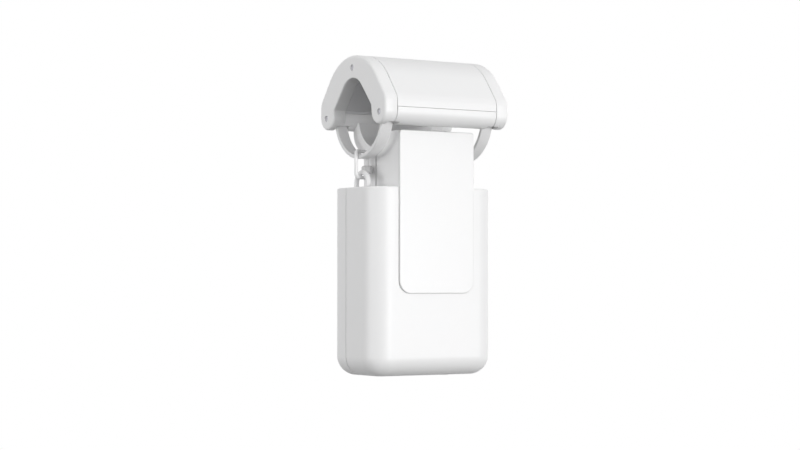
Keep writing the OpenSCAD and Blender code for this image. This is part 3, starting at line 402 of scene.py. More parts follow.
def end_plate(name, side, body, node):
    """The horseshoe wall with its two edges, a face with three sunk holes, the slots for the band, and a
    back that is open at the groove."""
    loop, inside = horseshoe()
    softness = np.where(inside, PLATE_INNER_EDGE, PLATE_EDGE)
    broken = PLATE_SEAM_EDGE / PLATE_EDGE
    profile = [(ARCH_SEAM + PLATE_SEAM_EDGE * step, broken * share) for step, share in SEAM_STEPS]
    profile += [(SLOT_OUTER, 0)] + soft_edge(ARCH_END, PLATE_EDGE)
    rows = wall_rows(loop, softness, profile)
    spans = [slot_span(loop, 1), slot_span(loop, -1)]
    reached = rows[:, 0, 0] < SLOT_OUTER + EDGE_CARE
    parts = [(rows, slotted_faces(rows, spans, reached[1:]))]
    for span in spans:
        parts += slot_sheets(rows[reached], span, -1)
    rims = [arc(spot, SCREW_R, 0, 360, 24)[:-1] for spot in SCREW_SPOTS]
    face = [rows[-1][:, 1:]] + rims
    points = np.concatenate(face)
    parts.append((np.column_stack([np.full(len(points), ARCH_END), points]), fill(face)))
    for rim in rims:
        well = [np.column_stack([np.full(len(rim), x), rim]) for x in (ARCH_END, ARCH_END - SCREW_DEEP)]
        parts += [grid(well, closed=True), cap(well[1])]
    parts.append(sheet(notched(rows[0], spans)))
    piece = make_piece(name, on_side(side, parts), white_plastic)
    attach(piece, body)
    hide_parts(node)


end_plate("arch_end_left", -1, "hook", "end_plate_left")
end_plate("arch_end_right", 1, "hook", "end_plate_right")


# Small screws: cross-head screws of plated steel, six in the end plates.
# Each head is slightly domed, with a cross pressed into it.
HEAD_R = 1.45 * MM
HEAD_FACE = 36.1 * MM
HEAD_DOME = 0.18 * MM
CROSS_W = 0.42 * MM
CROSS_LONG = 0.95 * MM
CROSS_DEEP = 0.35 * MM
CROSS_SIDE = (1.15, 0.3)
CROSS_TIP = (1.05, 0.15)
HEAD_STEPS = 96
HEAD_ROWS = 30
HEAD_MIDDLE = 0.02
HEAD_DEEP = 0.6 * MM
zinc = turned_metal("zinc_plate", (0.74, 0.74, 0.77), 0.45)


def screw_head(head_r, deep):
    """Cross-head screw about +X: a polar grid whose height is a dome less the cross, then a straight side.
    The cross slopes at its sides and tips, each given as where the slope ends and how long it is."""
    share = np.concatenate([np.linspace(HEAD_MIDDLE, 1, HEAD_ROWS), [1, 1]])[:, None]
    turn = np.linspace(0, 2 * math.pi, HEAD_STEPS, endpoint=False)[None, :]
    y, z = head_r * share * np.cos(turn), head_r * share * np.sin(turn)
    scale = head_r / HEAD_R
    near = np.minimum(np.abs(y), np.abs(z)) / (CROSS_W / 2 * scale)
    far = np.maximum(np.abs(y), np.abs(z)) / (CROSS_LONG * scale)
    side_slope = np.clip((CROSS_SIDE[0] - near) / CROSS_SIDE[1], 0, 1)
    tip_slope = np.clip((CROSS_TIP[0] - far) / CROSS_TIP[1], 0, 1)
    x = -HEAD_DOME * scale * share ** 2 - CROSS_DEEP * scale * side_slope * tip_slope
    x[-2] -= deep / 2
    x[-1] -= deep
    rows = np.stack([x, y, z], -1)
    return [grid(rows, closed=True), cap(rows[0]), cap(rows[-1])]


def plate_screws():
    """The end plates' six screws, as one piece."""
    head = screw_head(HEAD_R, HEAD_DEEP)
    parts = []
    for side in (1, -1):
        for spot in SCREW_SPOTS:
            placed = [(points + [HEAD_FACE, *spot], faces) for points, faces in head]
            parts += on_side(side, placed)
    piece = make_piece("plate_screw_heads", parts, zinc)
    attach(piece, "hook")
    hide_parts("end_plate_screws")


plate_screws()


# Arch cover: the moulded white roof between the end plates, one wall thick, parted from the rails below it.
# Its edges are just broken, so a thin dark line shows at each seam.
COVER_WALL = 2 * MM
PARTING = 0.5 * MM
SEAM_GAP = 0.28 * MM
PARTING_GAP = 0.16 * MM
COVER_EDGE = 0.15 * MM


def roof_line(inside):
    """Outline of the roof in (Y, Z), clockwise from the rear parting line over the crown to the front one,
    drawn inside by a wall: the straight side, the shoulder arc, the crown arc, and the same mirrored."""
    half = np.concatenate([
        [[SIDE - inside, PARTING + PARTING_GAP]],
        arc((shoulder_y, SHOULDER_Z), SHOULDER_R - inside, 0, FLANK_TURN, 14),
        arc((0, 0), CROWN_R - inside, FLANK_TURN, 90, 28),
    ])
    return np.concatenate([half * [-1, 1], half[-2::-1]])


def arch_cover():
    """A closed band of outer and inner roof lines carried along X, with broken outer edges at both seams."""
    edge = COVER_EDGE
    end = ARCH_SEAM - SEAM_GAP
    outer, inner = roof_line(0), roof_line(COVER_WALL)
    lip = outer.copy()
    lip[[0, -1]] += [0, edge]
    toward = (inner - outer) / COVER_WALL
    rows = []
    for x, draw in ((-end, 1), (-end + edge, 0), (end - edge, 0), (end, 1)):
        flat = lip + toward * edge * draw
        drawn = outer + toward * edge
        loop = np.concatenate([drawn[:1], flat, drawn[-1:], inner[::-1]])
        rows.append(np.column_stack([np.full(len(loop), x), loop]))
    parts = [grid(rows, closed=True), sheet(rows[0]), sheet(rows[-1])]
    piece = make_piece("arch_roof", parts, white_plastic)
    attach(piece, "hook")
    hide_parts("hook_cover")


arch_cover()


# Front rail: the rounded bar of white plastic under the parting line, which closes the front foot of the
# arch. At each end its underside is slotted for the ring's band, and a short groove takes the band's end.
RAIL_EDGE = 0.22 * MM


def front_rail():
    """The foot's half circle with a flat top carried along X between the seams, slotted at both ends."""
    end = ARCH_SEAM - SEAM_GAP
    loop = np.concatenate([
        [[wall_y, PARTING], [SIDE, PARTING]],
        arc((foot_y, FOOT_Z), FOOT_R, 0, slot_turns[0], 10),
        arc((foot_y, FOOT_Z), FOOT_R, *slot_turns, SLOT_STEPS)[1:],
        arc((foot_y, FOOT_Z), FOOT_R, slot_turns[1], -180, 8)[1:],
    ])[::-1] * [-1, 1]
    left = [(-end, 1), (-end + RAIL_EDGE, 0), (-SLOT_INNER, 0)]
    right = [(-x, share) for x, share in left[::-1]]
    rows = wall_rows(loop, np.full(len(loop), RAIL_EDGE), left + right)
    span = slot_span(loop, -1)
    middles = (rows[1:, 0, 0] + rows[:-1, 0, 0]) / 2
    parts = [(rows, slotted_faces(rows, [span], np.abs(middles) > SLOT_INNER))]
    parts += slot_sheets(rows[:3], span, -1) + slot_sheets(rows[3:], span, 0)
    parts += [sheet(notched(row, [span])) for row in (rows[0], rows[-1])]
    piece = make_piece("arch_front_rail", parts, white_plastic)
    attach(piece, "hook")
    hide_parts("hook_front_rail")


front_rail()


# Rings: a flat moulded band at each end that comes out of the front foot, goes round under the passage
# and back into the rear foot. Its edges are rounded so that the link slides on it.
RING_X = 29.75 * MM
RING_R = 22.45 * MM
BAND_T = 1.9 * MM
BAND_W = 6.4 * MM
BAND_EDGE = 0.5 * MM
BAND_ENDS = (-78, 92)
BAND_STEPS = 96
ring_plastic = moulded_plastic("ring_plastic", (0.8, 0.8, 0.8), 0.36)


def rounded_box(width, height, radius, steps=5):
    """Outline of a rectangle with round corners, about the origin."""
    half_w, half_h = width / 2 - radius, height / 2 - radius
    signs = ((1, 1, 0), (-1, 1, 90), (-1, -1, 180), (1, -1, 270))
    corners = [arc((a * half_w, b * half_h), radius, turn, turn + 90, steps) for a, b, turn in signs]
    return np.concatenate(corners)


def ring(side, name, body):
    """The band's section, radius by X, carried round a circle in (Y, Z) from one angle to the other."""
    section = rounded_box(BAND_T, BAND_W, BAND_EDGE)
    turn = np.radians(np.linspace(*BAND_ENDS, BAND_STEPS))[:, None]
    radius = RING_R + section[:, 0]
    y, z = radius * np.sin(turn), -radius * np.cos(turn)
    x = np.broadcast_to(side * (RING_X + section[:, 1]), y.shape)
    rows = np.stack([x, y, z], -1)
    parts = [grid(rows, closed=True), cap(rows[0]), cap(rows[-1])]
    piece = make_piece(name, parts, ring_plastic)
    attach(piece, body)
    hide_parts(body)


ring(-1, "band_left", "ring_left")
ring(1, "band_right", "ring_right")


# Links: a closed wire loop hangs on each band, and a round wire eye hangs in the loop.
# A hexagonal sleeve screws along the inner leg to close the loop. All are coated white; the sleeve's coat is
# drawn a mid grey instead, painted shade for the shadow that lines it.
LINK_WIRE = 0.9 * MM
LINK_W = 9.8 * MM
LINK_TOP = -19.6 * MM
LINK_LOW = -32.6 * MM
LINK_Y = 2 * MM
LINK_TURN = math.radians(25)
TOP_BEND = 1.2 * MM
LOW_BEND = 2 * MM
EYE_WIRE = 1.25 * MM
EYE_R = 5.85 * MM
EYE_PLACE = (1 * MM, -35.954 * MM)
SLEEVE_FLAT = 5 * MM
SLEEVE_H = 4 * MM
SLEEVE_Z = -28.55 * MM
SLEEVE_CORNER = 1.11
SLEEVE_HEIGHTS = (-1, -1, -0.88, -0.7, 0.7, 0.88, 1, 1)
SLEEVE_REACH = (0.5, 0.84, 0.98, 1.2, 1.2, 0.98, 0.84, 0.5)
SLEEVE_STEPS = 96
EYE_STEPS = 72
WIRE_SIDES = 20
wire_coat = moulded_plastic("white_wire_coat", (0.86, 0.86, 0.86), 0.24, grain=0.02)
# painted shade: the sleeve's coat is mid grey, darker than the white wire, to stand in for the shade round
# the sleeve
sleeve_painted_shade_coat = moulded_plastic("sleeve_painted_shade_coat", (0.62, 0.62, 0.62), 0.28, grain=0.02)


def wire_loop(path, normals, binormal, radius):
    """A round wire carried along a closed path, from the path's normals and the one binormal."""
    turn = np.linspace(0, 2 * math.pi, WIRE_SIDES, endpoint=False)[None, :, None]
    out = np.cos(turn) * normals[:, None] + np.sin(turn) * np.asarray(binormal)
    points = path[:, None] + radius * out
    return grid(np.concatenate([points, points[:1]]), closed=True)


def link(side, name, body):
    """A round wire carried round a rectangle with tight top bends and wide low ones, turned about Z."""
    half = LINK_W / 2
    flat = np.concatenate([
        arc((half - TOP_BEND, LINK_TOP - TOP_BEND), TOP_BEND, 0, 90, 10),
        arc((-half + TOP_BEND, LINK_TOP - TOP_BEND), TOP_BEND, 90, 180, 10),
        arc((-half + LOW_BEND, LINK_LOW + LOW_BEND), LOW_BEND, 180, 270, 12),
        arc((half - LOW_BEND, LINK_LOW + LOW_BEND), LOW_BEND, 270, 360, 12),
    ])
    out = -outward(flat)
    along, across = math.cos(LINK_TURN), -math.sin(LINK_TURN)
    path = np.column_stack([flat[:, 0] * along, flat[:, 0] * across, flat[:, 1]])
    path += [RING_X, LINK_Y, 0]
    normals = np.column_stack([out[:, 0] * along, out[:, 0] * across, out[:, 1]])
    wire = wire_loop(path, normals, (-across, along, 0), LINK_WIRE)
    piece = make_piece(name, on_side(side, [wire]), wire_coat)
    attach(piece, body)
    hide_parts(body)


def eye(side, name, body):
    """A torus in the (Y, Z) plane that hangs in the link's low bar."""
    turn = np.linspace(0, 2 * math.pi, EYE_STEPS, endpoint=False)
    out = np.column_stack([np.zeros(len(turn)), np.cos(turn), np.sin(turn)])
    path = np.array([side * RING_X, *EYE_PLACE]) + EYE_R * out
    piece = make_piece(name, [wire_loop(path, out, (1, 0, 0), EYE_WIRE)], wire_coat)
    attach(piece, body)
    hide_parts(body)


def sleeve(side, name, body, node):
    """A hexagon with eased corners, by height: its radius follows the flats, narrows at both ends and goes
    back through a round bore. Heights and reach are shares of half the height and half the width."""
    turn = np.linspace(0, 2 * math.pi, SLEEVE_STEPS, endpoint=False)
    off_flat = (turn + math.pi / 6) % (math.pi / 3) - math.pi / 6
    hexagon = SLEEVE_FLAT / 2 * np.minimum(1 / np.cos(off_flat), SLEEVE_CORNER)
    heights = np.array(SLEEVE_HEIGHTS) * SLEEVE_H / 2
    reach = SLEEVE_FLAT / 2 * np.array(SLEEVE_REACH)
    radius = np.minimum(hexagon[None, :], reach[:, None])
    along, across = math.cos(LINK_TURN), math.sin(LINK_TURN)
    leg = (RING_X - LINK_W / 2 * along, LINK_Y + LINK_W / 2 * across)
    x = leg[0] + radius * np.cos(turn)
    y = leg[1] + radius * np.sin(turn)
    z = np.broadcast_to((SLEEVE_Z + heights)[:, None], x.shape)
    rows = np.stack([side * x, y, z], -1)
    closed_rows = np.concatenate([rows, rows[:1]])
    piece = make_piece(name, [grid(closed_rows, closed=True)], sleeve_painted_shade_coat, sharp=24)
    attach(piece, body)
    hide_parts(node)


for side, end in ((-1, "left"), (1, "right")):
    link(side, f"wire_link_{end}", f"link_{end}")
    eye(side, f"wire_eye_{end}", f"eye_{end}")
    sleeve(side, f"hex_sleeve_{end}", f"sleeve_{end}", f"link_sleeve_{end}")


# Body shells: a front and a rear cup of white plastic that meet at an upright seam, with round upright
# corners and a wide radius round the bottom. Below, the front shell is open for the charging plug, the
# button and the light guide; the rear shell has wells for the four screws that hold the two together.
BODY_HALF = 36.7 * MM
BODY_FRONT = -20.6 * MM
BODY_REAR = 20.5 * MM
BODY_TOP = -37.7 * MM
BODY_LOW = -131.2 * MM
FRONT_CORNER = 11 * MM
REAR_CORNER = 9 * MM
LOW_R = 9.7 * MM
RIM_WALL = 2 * MM
RIM_EDGE = 0.5 * MM
BODY_SEAM = 5.6 * MM
SHADOW_GAP = 0.2 * MM
SEAM_EDGE = 0.12 * MM
NECK_HALF = 22 * MM
NECK_LOW = -46 * MM
MIRROR_X = np.array([-1, 1, 1])
PLUG_SLOT = (9.5 * MM, 3.8 * MM)
PLUG_Y = -6.2 * MM
BUTTON_HOLE = ((14 * MM, -5.6 * MM), 3.2 * MM)
GUIDE_HOLE = ((-14 * MM, -5.6 * MM), 1.35 * MM)
REAR_SCREW_X = 28.7 * MM
REAR_SCREW_Z = (-53 * MM, -80 * MM)
REAR_HOLE_R = 2.0 * MM
REAR_HOLE_FRAME = 3 * MM
REAR_HOLE_FLOOR = 18.6 * MM
HOLE_STEPS = 32
PLUG_STEPS = 12
LOW_STEPS = 24
RIM_STEPS = 4
BESIDE_NECK_STEPS = 59
NECK_STEPS = 22
FRAME_STEPS = 6
WALL_HEIGHTS = np.linspace(BODY_TOP - 1 * MM, BODY_LOW + LOW_R, 12)[:-1]
side_start = BODY_HALF - FRONT_CORNER + FRONT_CORNER * math.pi / 2
side_length = (BODY_REAR - REAR_CORNER) - (BODY_FRONT + FRONT_CORNER)
rear_start = side_start + side_length
plan_length = rear_start + REAR_CORNER * math.pi / 2 + BODY_HALF - REAR_CORNER


def shell_point(run, z, draw):
    """Point of the shells at a distance run along the plan from the middle of the front, to the right:
    the front, a quarter circle, the side, a quarter circle and the rear. A negative run goes left.
    The plan is drawn in by a length on every side, which makes the corners tighter down to a point."""
    run, z, draw = np.broadcast_arrays(run, z, draw)
    far = np.abs(run)
    front_turn = np.clip((far - (BODY_HALF - FRONT_CORNER)) / FRONT_CORNER, 0, math.pi / 2)
    rear_turn = np.clip((far - rear_start) / REAR_CORNER, 0, math.pi / 2)
    front_r = np.maximum(FRONT_CORNER - draw, 0)
    rear_r = np.maximum(REAR_CORNER - draw, 0)
    past_front = np.minimum(far, BODY_HALF - FRONT_CORNER) + front_r * np.sin(front_turn)
    past_rear = plan_length - far + rear_r * np.cos(rear_turn)
    at_rear = BODY_HALF - REAR_CORNER + rear_r * np.cos(rear_turn)
    x = np.where(rear_turn < math.pi / 2, at_rear, past_rear)
    x = np.where(far < rear_start, past_front, x)
    x = np.minimum(x, BODY_HALF - draw)
    flat_side = np.clip(far - side_start, 0, side_length)
    y = BODY_FRONT + draw + front_r * (1 - np.cos(front_turn)) + flat_side + rear_r * np.sin(rear_turn)
    y = np.minimum(y, BODY_REAR - draw)
    return np.stack([np.sign(run) * x, y, z], -1)


def shell_rows(heights):
    """Rows of a shell's wall from the bottom inside, up the inside, over the round rim and down the outside.
    Each is (height, drawn in by, and the way into the wall as a draw and a height)."""
    turn = np.linspace(0, math.pi / 2, LOW_STEPS + 1)[:, None]
    under = np.hstack([np.cos(turn), np.sin(turn)])
    low = np.hstack([BODY_LOW + LOW_R - LOW_R * under[:, 1:], LOW_R - LOW_R * under[:, :1], under])
    outside = np.concatenate([[[z, 0, 1, 0] for z in heights], low])
    inside = outside[::-1] * [1, 1, -1, -1]
    inside[:, 0] += RIM_WALL * outside[::-1, 3]
    inside[:, 1] += RIM_WALL * outside[::-1, 2]
    turn = np.linspace(0, math.pi / 2, RIM_STEPS + 1)[:, None]
    over = np.hstack([np.cos(turn), np.sin(turn)])
    rim_z = BODY_TOP - RIM_EDGE + RIM_EDGE * over[:, 1:]
    rim_in = np.hstack([rim_z, RIM_WALL - RIM_EDGE + RIM_EDGE * over[:, :1], -over])
    rim_out = np.hstack([rim_z, RIM_EDGE - RIM_EDGE * over[:, :1], over * [1, -1]])[::-1]
    return np.concatenate([inside, rim_in, rim_out, outside])


def seam_lip(rows, seam):
    """The broken edge on the plane Y = seam, as one column of points."""
    run = side_start + seam - (BODY_FRONT + FRONT_CORNER)
    z, draw, into_draw, into_z = rows.T[:, :, None]
    return shell_point(run, z + SEAM_EDGE * into_z, draw + SEAM_EDGE * into_draw)


def close_shell(points, holes):
    """What closes a shell whose first and last columns lie on the seam: the flat U of the wall's section,
    the broken edges along the bottom, and the bottom's two flat sides with a wall through each hole."""
    section = np.concatenate([points[:, -1], points[::-1, 0]])
    parts = [(section, fill([section[:, [0, 2]]]))]
    for row in (points[0], points[-1]):
        parts.append(cap(row[[0, 1, -2, -1]]))
        loops = [row[1:-1, :2]] + holes
        flat = np.concatenate(loops)
        parts.append((np.column_stack([flat, np.full(len(flat), row[1, 2])]), fill(loops)))
    for hole in holes:
        wall = [np.column_stack([hole, np.full(len(hole), row[1, 2])]) for row in (points[0], points[-1])]
        parts.append(grid(wall, closed=True))
    return parts


def front_shell():
    """The front of the plan from seam to seam, carried along the rows, and a flat bottom with its holes.
    The rim is open behind the panel, where the neck comes in."""
    rows = shell_rows(np.sort(np.append(WALL_HEIGHTS, NECK_LOW))[::-1])
    seam = BODY_SEAM - SHADOW_GAP
    edge_run = side_start + seam - SEAM_EDGE - (BODY_FRONT + FRONT_CORNER)
    beside = np.linspace(NECK_HALF, edge_run, BESIDE_NECK_STEPS + 1)
    at_neck = np.linspace(-NECK_HALF, NECK_HALF, NECK_STEPS + 1)[1:-1]
    runs = np.concatenate([-beside[::-1], at_neck, beside])
    lip = seam_lip(rows, seam)
    points = np.concatenate([lip * MIRROR_X, shell_point(runs, rows[:, :1], rows[:, 1:2]), lip], 1)
    high = np.flatnonzero(rows[:, 0] > NECK_LOW - EDGE_CARE)
    middle = np.flatnonzero(np.abs(runs) < NECK_HALF + EDGE_CARE) + 1
    way = points[high[0]:high[-1] + 1, middle[0]:middle[-1] + 1]
    row, column = np.divmod(np.arange((len(rows) - 1) * (points.shape[1] - 1)), points.shape[1] - 1)
    in_way = (row >= high[0]) & (row < high[-1]) & (column >= middle[0]) & (column < middle[-1])
    parts = [(points, grid_faces(*points.shape[:2])[~in_way])]
    parts += [cap(way[:, 0]), cap(way[:, -1]), grid(way[[0, -1]])]
    straight = (PLUG_SLOT[0] - PLUG_SLOT[1]) / 2
    right_end = arc((straight, PLUG_Y), PLUG_SLOT[1] / 2, -90, 90, PLUG_STEPS)
    left_end = arc((-straight, PLUG_Y), PLUG_SLOT[1] / 2, 90, 270, PLUG_STEPS)
    holes = [np.concatenate([right_end, left_end])]
    holes += [arc(*hole, 0, 360, HOLE_STEPS)[:-1] for hole in (BUTTON_HOLE, GUIDE_HOLE)]
    piece = make_piece("body_front", parts + close_shell(points, holes), white_plastic)
    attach(piece, "main_unit")
    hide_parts("front_shell")


def rear_shell():
    """The rear of the plan from seam to seam, carried along the rows, with a flat bottom. Round each screw
    a square of the outside is left out and closed again by a sheet with a round well, laid on the plan."""
    frames = np.add.outer(REAR_SCREW_Z, REAR_HOLE_FRAME * np.array([-1, 0, 1]))
    clear = np.abs(np.subtract.outer(WALL_HEIGHTS, REAR_SCREW_Z)).min(1) > REAR_HOLE_FRAME + EDGE_CARE
    rows = shell_rows(np.sort(np.append(WALL_HEIGHTS[clear], frames))[::-1])
    seam = BODY_SEAM + SHADOW_GAP
    start = side_start + seam + SEAM_EDGE - (BODY_FRONT + FRONT_CORNER)
    screw_run = plan_length - REAR_SCREW_X
    across = screw_run + REAR_HOLE_FRAME * np.linspace(-1, 1, FRAME_STEPS + 1)
    before, behind = np.linspace(start, across[0], 24), np.linspace(across[-1], plan_length, 12)
    runs = np.concatenate([before, across[1:], behind[1:]])
    right = np.concatenate([seam_lip(rows, seam), shell_point(runs, rows[:, :1], rows[:, 1:2])], 1)
    points = np.concatenate([right, right[:, -2::-1] * MIRROR_X], 1)
    faces = grid_faces(*points.shape[:2])
    middle = points.reshape(-1, 3)[faces].mean(1)
    at_screw = np.abs(np.abs(middle[:, 0]) - REAR_SCREW_X) < REAR_HOLE_FRAME
    near = np.min([np.abs(middle[:, 2] - z) for z in REAR_SCREW_Z], 0) < REAR_HOLE_FRAME
    outside = middle[:, 1] > BODY_REAR - RIM_WALL / 2
    parts = [(points, faces[~(at_screw & near & outside)])]
    for z in REAR_SCREW_Z:
        border = [(r, z - REAR_HOLE_FRAME) for r in across] + [(across[-1], z)]
        border += [(r, z + REAR_HOLE_FRAME) for r in across[::-1]] + [(across[0], z)]
        hole = arc((screw_run, z), REAR_HOLE_R, 0, 360, HOLE_STEPS)[:-1]
        flat = np.concatenate([border, hole])
        laid = shell_point(flat[:, 0], flat[:, 1], np.zeros(len(flat)))
        rim = laid[len(border):]
        deep = rim * [1, 0, 1] + [0, REAR_HOLE_FLOOR, 0]
        well = [(laid, fill([border, hole])), grid([rim, deep], closed=True), cap(deep)]
        parts += well + on_side(-1, well)
    piece = make_piece("body_rear", parts + close_shell(points, []), white_plastic)
    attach(piece, "main_unit")
    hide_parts("rear_shell")


front_shell()
rear_shell()


# Shell screws: four bright steel cross-head screws, sunk in the wells of the rear shell.
# Their heads have the shape of those in the end plates, a little larger.
REAR_HEAD_R = 1.8 * MM
REAR_HEAD_DEEP = 1 * MM
REAR_HEAD_FACE = 19.1 * MM


def shell_screws():
    """The four rear screws, each turned so that its head looks to the rear."""
    head = screw_head(REAR_HEAD_R, REAR_HEAD_DEEP)
    parts = []
    for side in (1, -1):
        for height in REAR_SCREW_Z:
            for points, faces in head:
                turned = np.reshape(points, (-1, 3))[:, [1, 0, 2]]
                parts.append((turned + [side * REAR_SCREW_X, REAR_HEAD_FACE, height], faces))
    piece = make_piece("rear_screw_heads", parts, bright_steel)
    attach(piece, "main_unit")
    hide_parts("shell_screws")


shell_screws()


# Button: a white push button under the front shell, with a dished face and a soft edge.
# It stands a little proud of the flat bottom, and a press moves it up into its hole.
BUTTON_R = 3 * MM
BUTTON_FACE = -131.5 * MM
BUTTON_TOP = -128.5 * MM
BUTTON_EDGE = 0.4 * MM
BUTTON_DISH = 0.15 * MM
BUTTON_DISH_END = 0.85
BUTTON_STEPS = 64


def button():
    """A turned shape about Z, by radius and height: a dished face, a quarter-round edge, a straight side."""
    edge = BUTTON_EDGE
    turn = np.linspace(0, math.pi / 2, 7)
    share = np.linspace(0.05, 0.8, 8)
    radius = np.concatenate([share * BUTTON_R, BUTTON_R - edge + edge * np.sin(turn), [BUTTON_R]])
    dish = BUTTON_DISH * (1 - (share / BUTTON_DISH_END) ** 2)
    height = np.concatenate([dish, edge - edge * np.cos(turn), [BUTTON_TOP - BUTTON_FACE]]) + BUTTON_FACE
    around = np.linspace(0, 2 * math.pi, BUTTON_STEPS, endpoint=False)
    x = BUTTON_HOLE[0][0] + radius[:, None] * np.cos(around)
    y = BUTTON_HOLE[0][1] + radius[:, None] * np.sin(around)
    rows = np.stack([x, y, np.broadcast_to(height[:, None], x.shape)], -1)
    parts = [grid(rows, closed=True), cap(rows[0]), cap(rows[-1])]
    piece = make_piece("push_button", parts, white_plastic)
    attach(piece, "button")
    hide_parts("button")


button()


# Front panel: a thin smooth cover of white plastic that runs down the neck and over half of the body.
# It stands a little proud, with eased edges and round lower corners, and its face is left bare.
PANEL_HALF = 22.1 * MM
PANEL_TOP = -9.7 * MM
PANEL_LOW = -90.4 * MM
PANEL_FRONT = -21.6 * MM
PANEL_BACK = -19.9 * MM
PANEL_TOP_R = 1.5 * MM
PANEL_LOW_R = 6.5 * MM
PANEL_EDGE = 0.5 * MM
PANEL_GAP = 0.3 * MM
PANEL_GAP_DEEP = 0.7 * MM
panel_plastic = moulded_plastic("panel_plastic", (0.84, 0.84, 0.84), 0.3, grain=0.03)


def front_panel():
    """The panel's outline in (X, Z) carried from its back to its face, with a narrow gap drawn in where it
    leaves the body and a quarter-round edge at the face."""
    half = np.concatenate([
        arc((PANEL_HALF - PANEL_TOP_R, PANEL_TOP - PANEL_TOP_R), PANEL_TOP_R, 90, 0, 8),
        arc((PANEL_HALF - PANEL_LOW_R, PANEL_LOW + PANEL_LOW_R), PANEL_LOW_R, 0, -90, 16),
    ])
    loop = np.concatenate([half, half[::-1] * [-1, 1]])
    under = PANEL_GAP_DEEP / PANEL_EDGE
    gap_low, gap_high = -BODY_FRONT, -BODY_FRONT + PANEL_GAP
    profile = [(-PANEL_BACK, 0), (gap_low, 0), (gap_low, under), (gap_high, under), (gap_high, 0)]
    profile += soft_edge(-PANEL_FRONT, PANEL_EDGE)
    rows = wall_rows(loop, np.full(len(loop), PANEL_EDGE), profile)
    rows = np.stack([rows[..., 1], -rows[..., 0], rows[..., 2]], -1)
    parts = [grid(rows, closed=True), cap(rows[0]), cap(rows[-1])]
    piece = make_piece("front_cover_panel", parts, panel_plastic)
    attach(piece, "main_unit")
    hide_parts("front_panel")


front_panel()


# Stage: a pale floor well below the hanging robot, white all round, and soft studio light.
# The camera stands to the left in front, at about the height of the middle of the body.
FLOOR_Z = -0.5
FLOOR_R = 3.0
FLOOR_TONE = 0.06
FLOOR_FADE = (0.6, 2.7)  # from how far out to how far out it turns white to the camera
FLOOR_WHITE = 0.8  # how white it is inside that
FLOOR_RINGS = 12
FLOOR_SPOKES = 64
ROOM_LIGHT = 0.77
ROOM_OVERHEAD_LOSS = 0.24
LAMP_SIZE = 1.4
LAMP_AIM = Vector((0, 0, -0.05))
CAMERA_PLACE = (-0.53027, -0.81243, -0.08487)
CAMERA_UP = math.radians(1.713)
CAMERA_TURN = math.radians(-32.722)
SENSOR = 36.0
LENS = 86.317


def seen_directly(tree):
    """A signal that is 1 for what the camera sees, straight or mirrored or through glass, else 0."""
    path = tree.nodes.new("ShaderNodeLightPath")
    names = ("Is Camera Ray", "Is Glossy Ray", "Is Transmission Ray")
    camera, glossy, through = (Signal(tree, path.outputs[n]) for n in names)
    return camera.math("MAXIMUM", camera.math("MAXIMUM", camera, glossy), through)


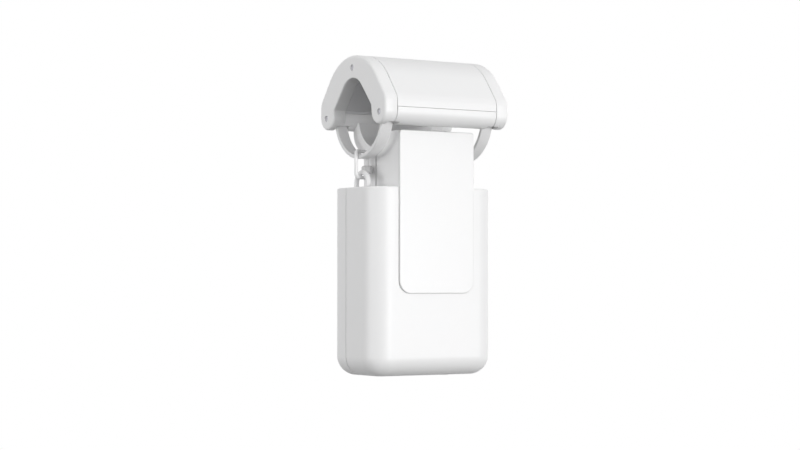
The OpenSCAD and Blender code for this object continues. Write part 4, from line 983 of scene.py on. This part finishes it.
def floor():
    """A disc of rings and spokes that takes the shadow. To the camera it is mostly white, all white at its
    rim, and open from below."""
    turn = np.linspace(0, 2 * math.pi, FLOOR_SPOKES, endpoint=False)
    radius = FLOOR_R * np.linspace(0.02, 1, FLOOR_RINGS)[:, None]
    x, y = radius * np.cos(turn), radius * np.sin(turn)
    rows = np.stack([x, y, np.full(x.shape, FLOOR_Z)], -1)
    material, shader, place = new_finish("pale_floor")
    shader.inputs["Base Color"].default_value = (FLOOR_TONE, FLOOR_TONE, FLOOR_TONE, 1)
    shader.inputs["Roughness"].default_value = 0.9
    tree = place.tree
    seen = seen_directly(tree)
    away = place.node("ShaderNodeVectorMath", {"operation": "LENGTH"}, {0: place}, "Value")
    limits = {"From Min": FLOOR_FADE[0], "From Max": FLOOR_FADE[1], "To Min": FLOOR_WHITE, "To Max": 1.0}
    white = away.node("ShaderNodeMapRange", {}, {"Value": away} | limits)
    glow = seen.node("ShaderNodeEmission", {}, {"Color": (1, 1, 1, 1), "Strength": 1.0})
    matt = Signal(tree, shader.outputs[0])
    pale = seen.node("ShaderNodeMixShader", {}, {0: white * seen, 1: matt, 2: glow})
    viewer = Signal(tree, tree.nodes.new("ShaderNodeNewGeometry").outputs["Incoming"])
    rise = viewer.node("ShaderNodeSeparateXYZ", {}, {0: viewer}, 2)
    below = rise.math("LESS_THAN", rise, 0.0)
    clear = seen.node("ShaderNodeBsdfTransparent", {}, {})
    shown = seen.node("ShaderNodeMixShader", {}, {0: below * seen, 1: pale, 2: clear})
    tree.links.new(shown.socket, tree.nodes["Material Output"].inputs["Surface"])
    make_piece("floor", [grid(rows, closed=True)], material)


def white_room():
    """World light: a soft grey, dimmer overhead, for lighting and plain white where it is seen."""
    world = bpy.data.worlds.new("room")
    bpy.context.scene.world = world
    world.use_nodes = True
    tree = world.node_tree
    light = tree.nodes["Background"]
    light.inputs["Color"].default_value = (0.995, 0.995, 1, 1)
    way = Signal(tree, tree.nodes.new("ShaderNodeTexCoord").outputs["Generated"])
    height = way.node("ShaderNodeSeparateXYZ", {}, {0: way}, 2)
    strength = ROOM_LIGHT - ROOM_OVERHEAD_LOSS * height.math("MAXIMUM", height, 0.0)
    tree.links.new(strength.socket, light.inputs["Strength"])
    seen = seen_directly(tree)
    white = seen.node("ShaderNodeBackground", {}, {"Color": (1, 1, 1, 1), "Strength": 1.0})
    soft = Signal(tree, light.outputs[0])
    mixed = seen.node("ShaderNodeMixShader", {}, {0: seen, 1: soft, 2: white})
    tree.links.new(mixed.socket, tree.nodes["World Output"].inputs["Surface"])


def soft_lamp(name, place, watts):
    """A square area lamp that looks at the object's middle."""
    data = bpy.data.lights.new(name, "AREA")
    data.size = LAMP_SIZE
    data.energy = watts
    lamp = bpy.data.objects.new(name, data)
    lamp.location = place
    way = LAMP_AIM - Vector(place)
    lamp.rotation_euler = way.to_track_quat("-Z", "Y").to_euler()
    bpy.context.scene.collection.objects.link(lamp)


floor()
white_room()
soft_lamp("front_lamp", (0.6, -2.0, -0.45), watts=50)
soft_lamp("left_lamp", (-2.2, -0.2, -0.2), watts=18)

camera_data = bpy.data.cameras.new("photo_camera")
camera_data.sensor_width = SENSOR
camera_data.lens = LENS
camera = bpy.data.objects.new("photo_camera", camera_data)
camera.location = CAMERA_PLACE
camera.rotation_euler = (math.pi / 2 + CAMERA_UP, 0, CAMERA_TURN)
bpy.context.scene.collection.objects.link(camera)
bpy.context.scene.camera = camera
bpy.context.scene.view_settings.view_transform = "Standard"
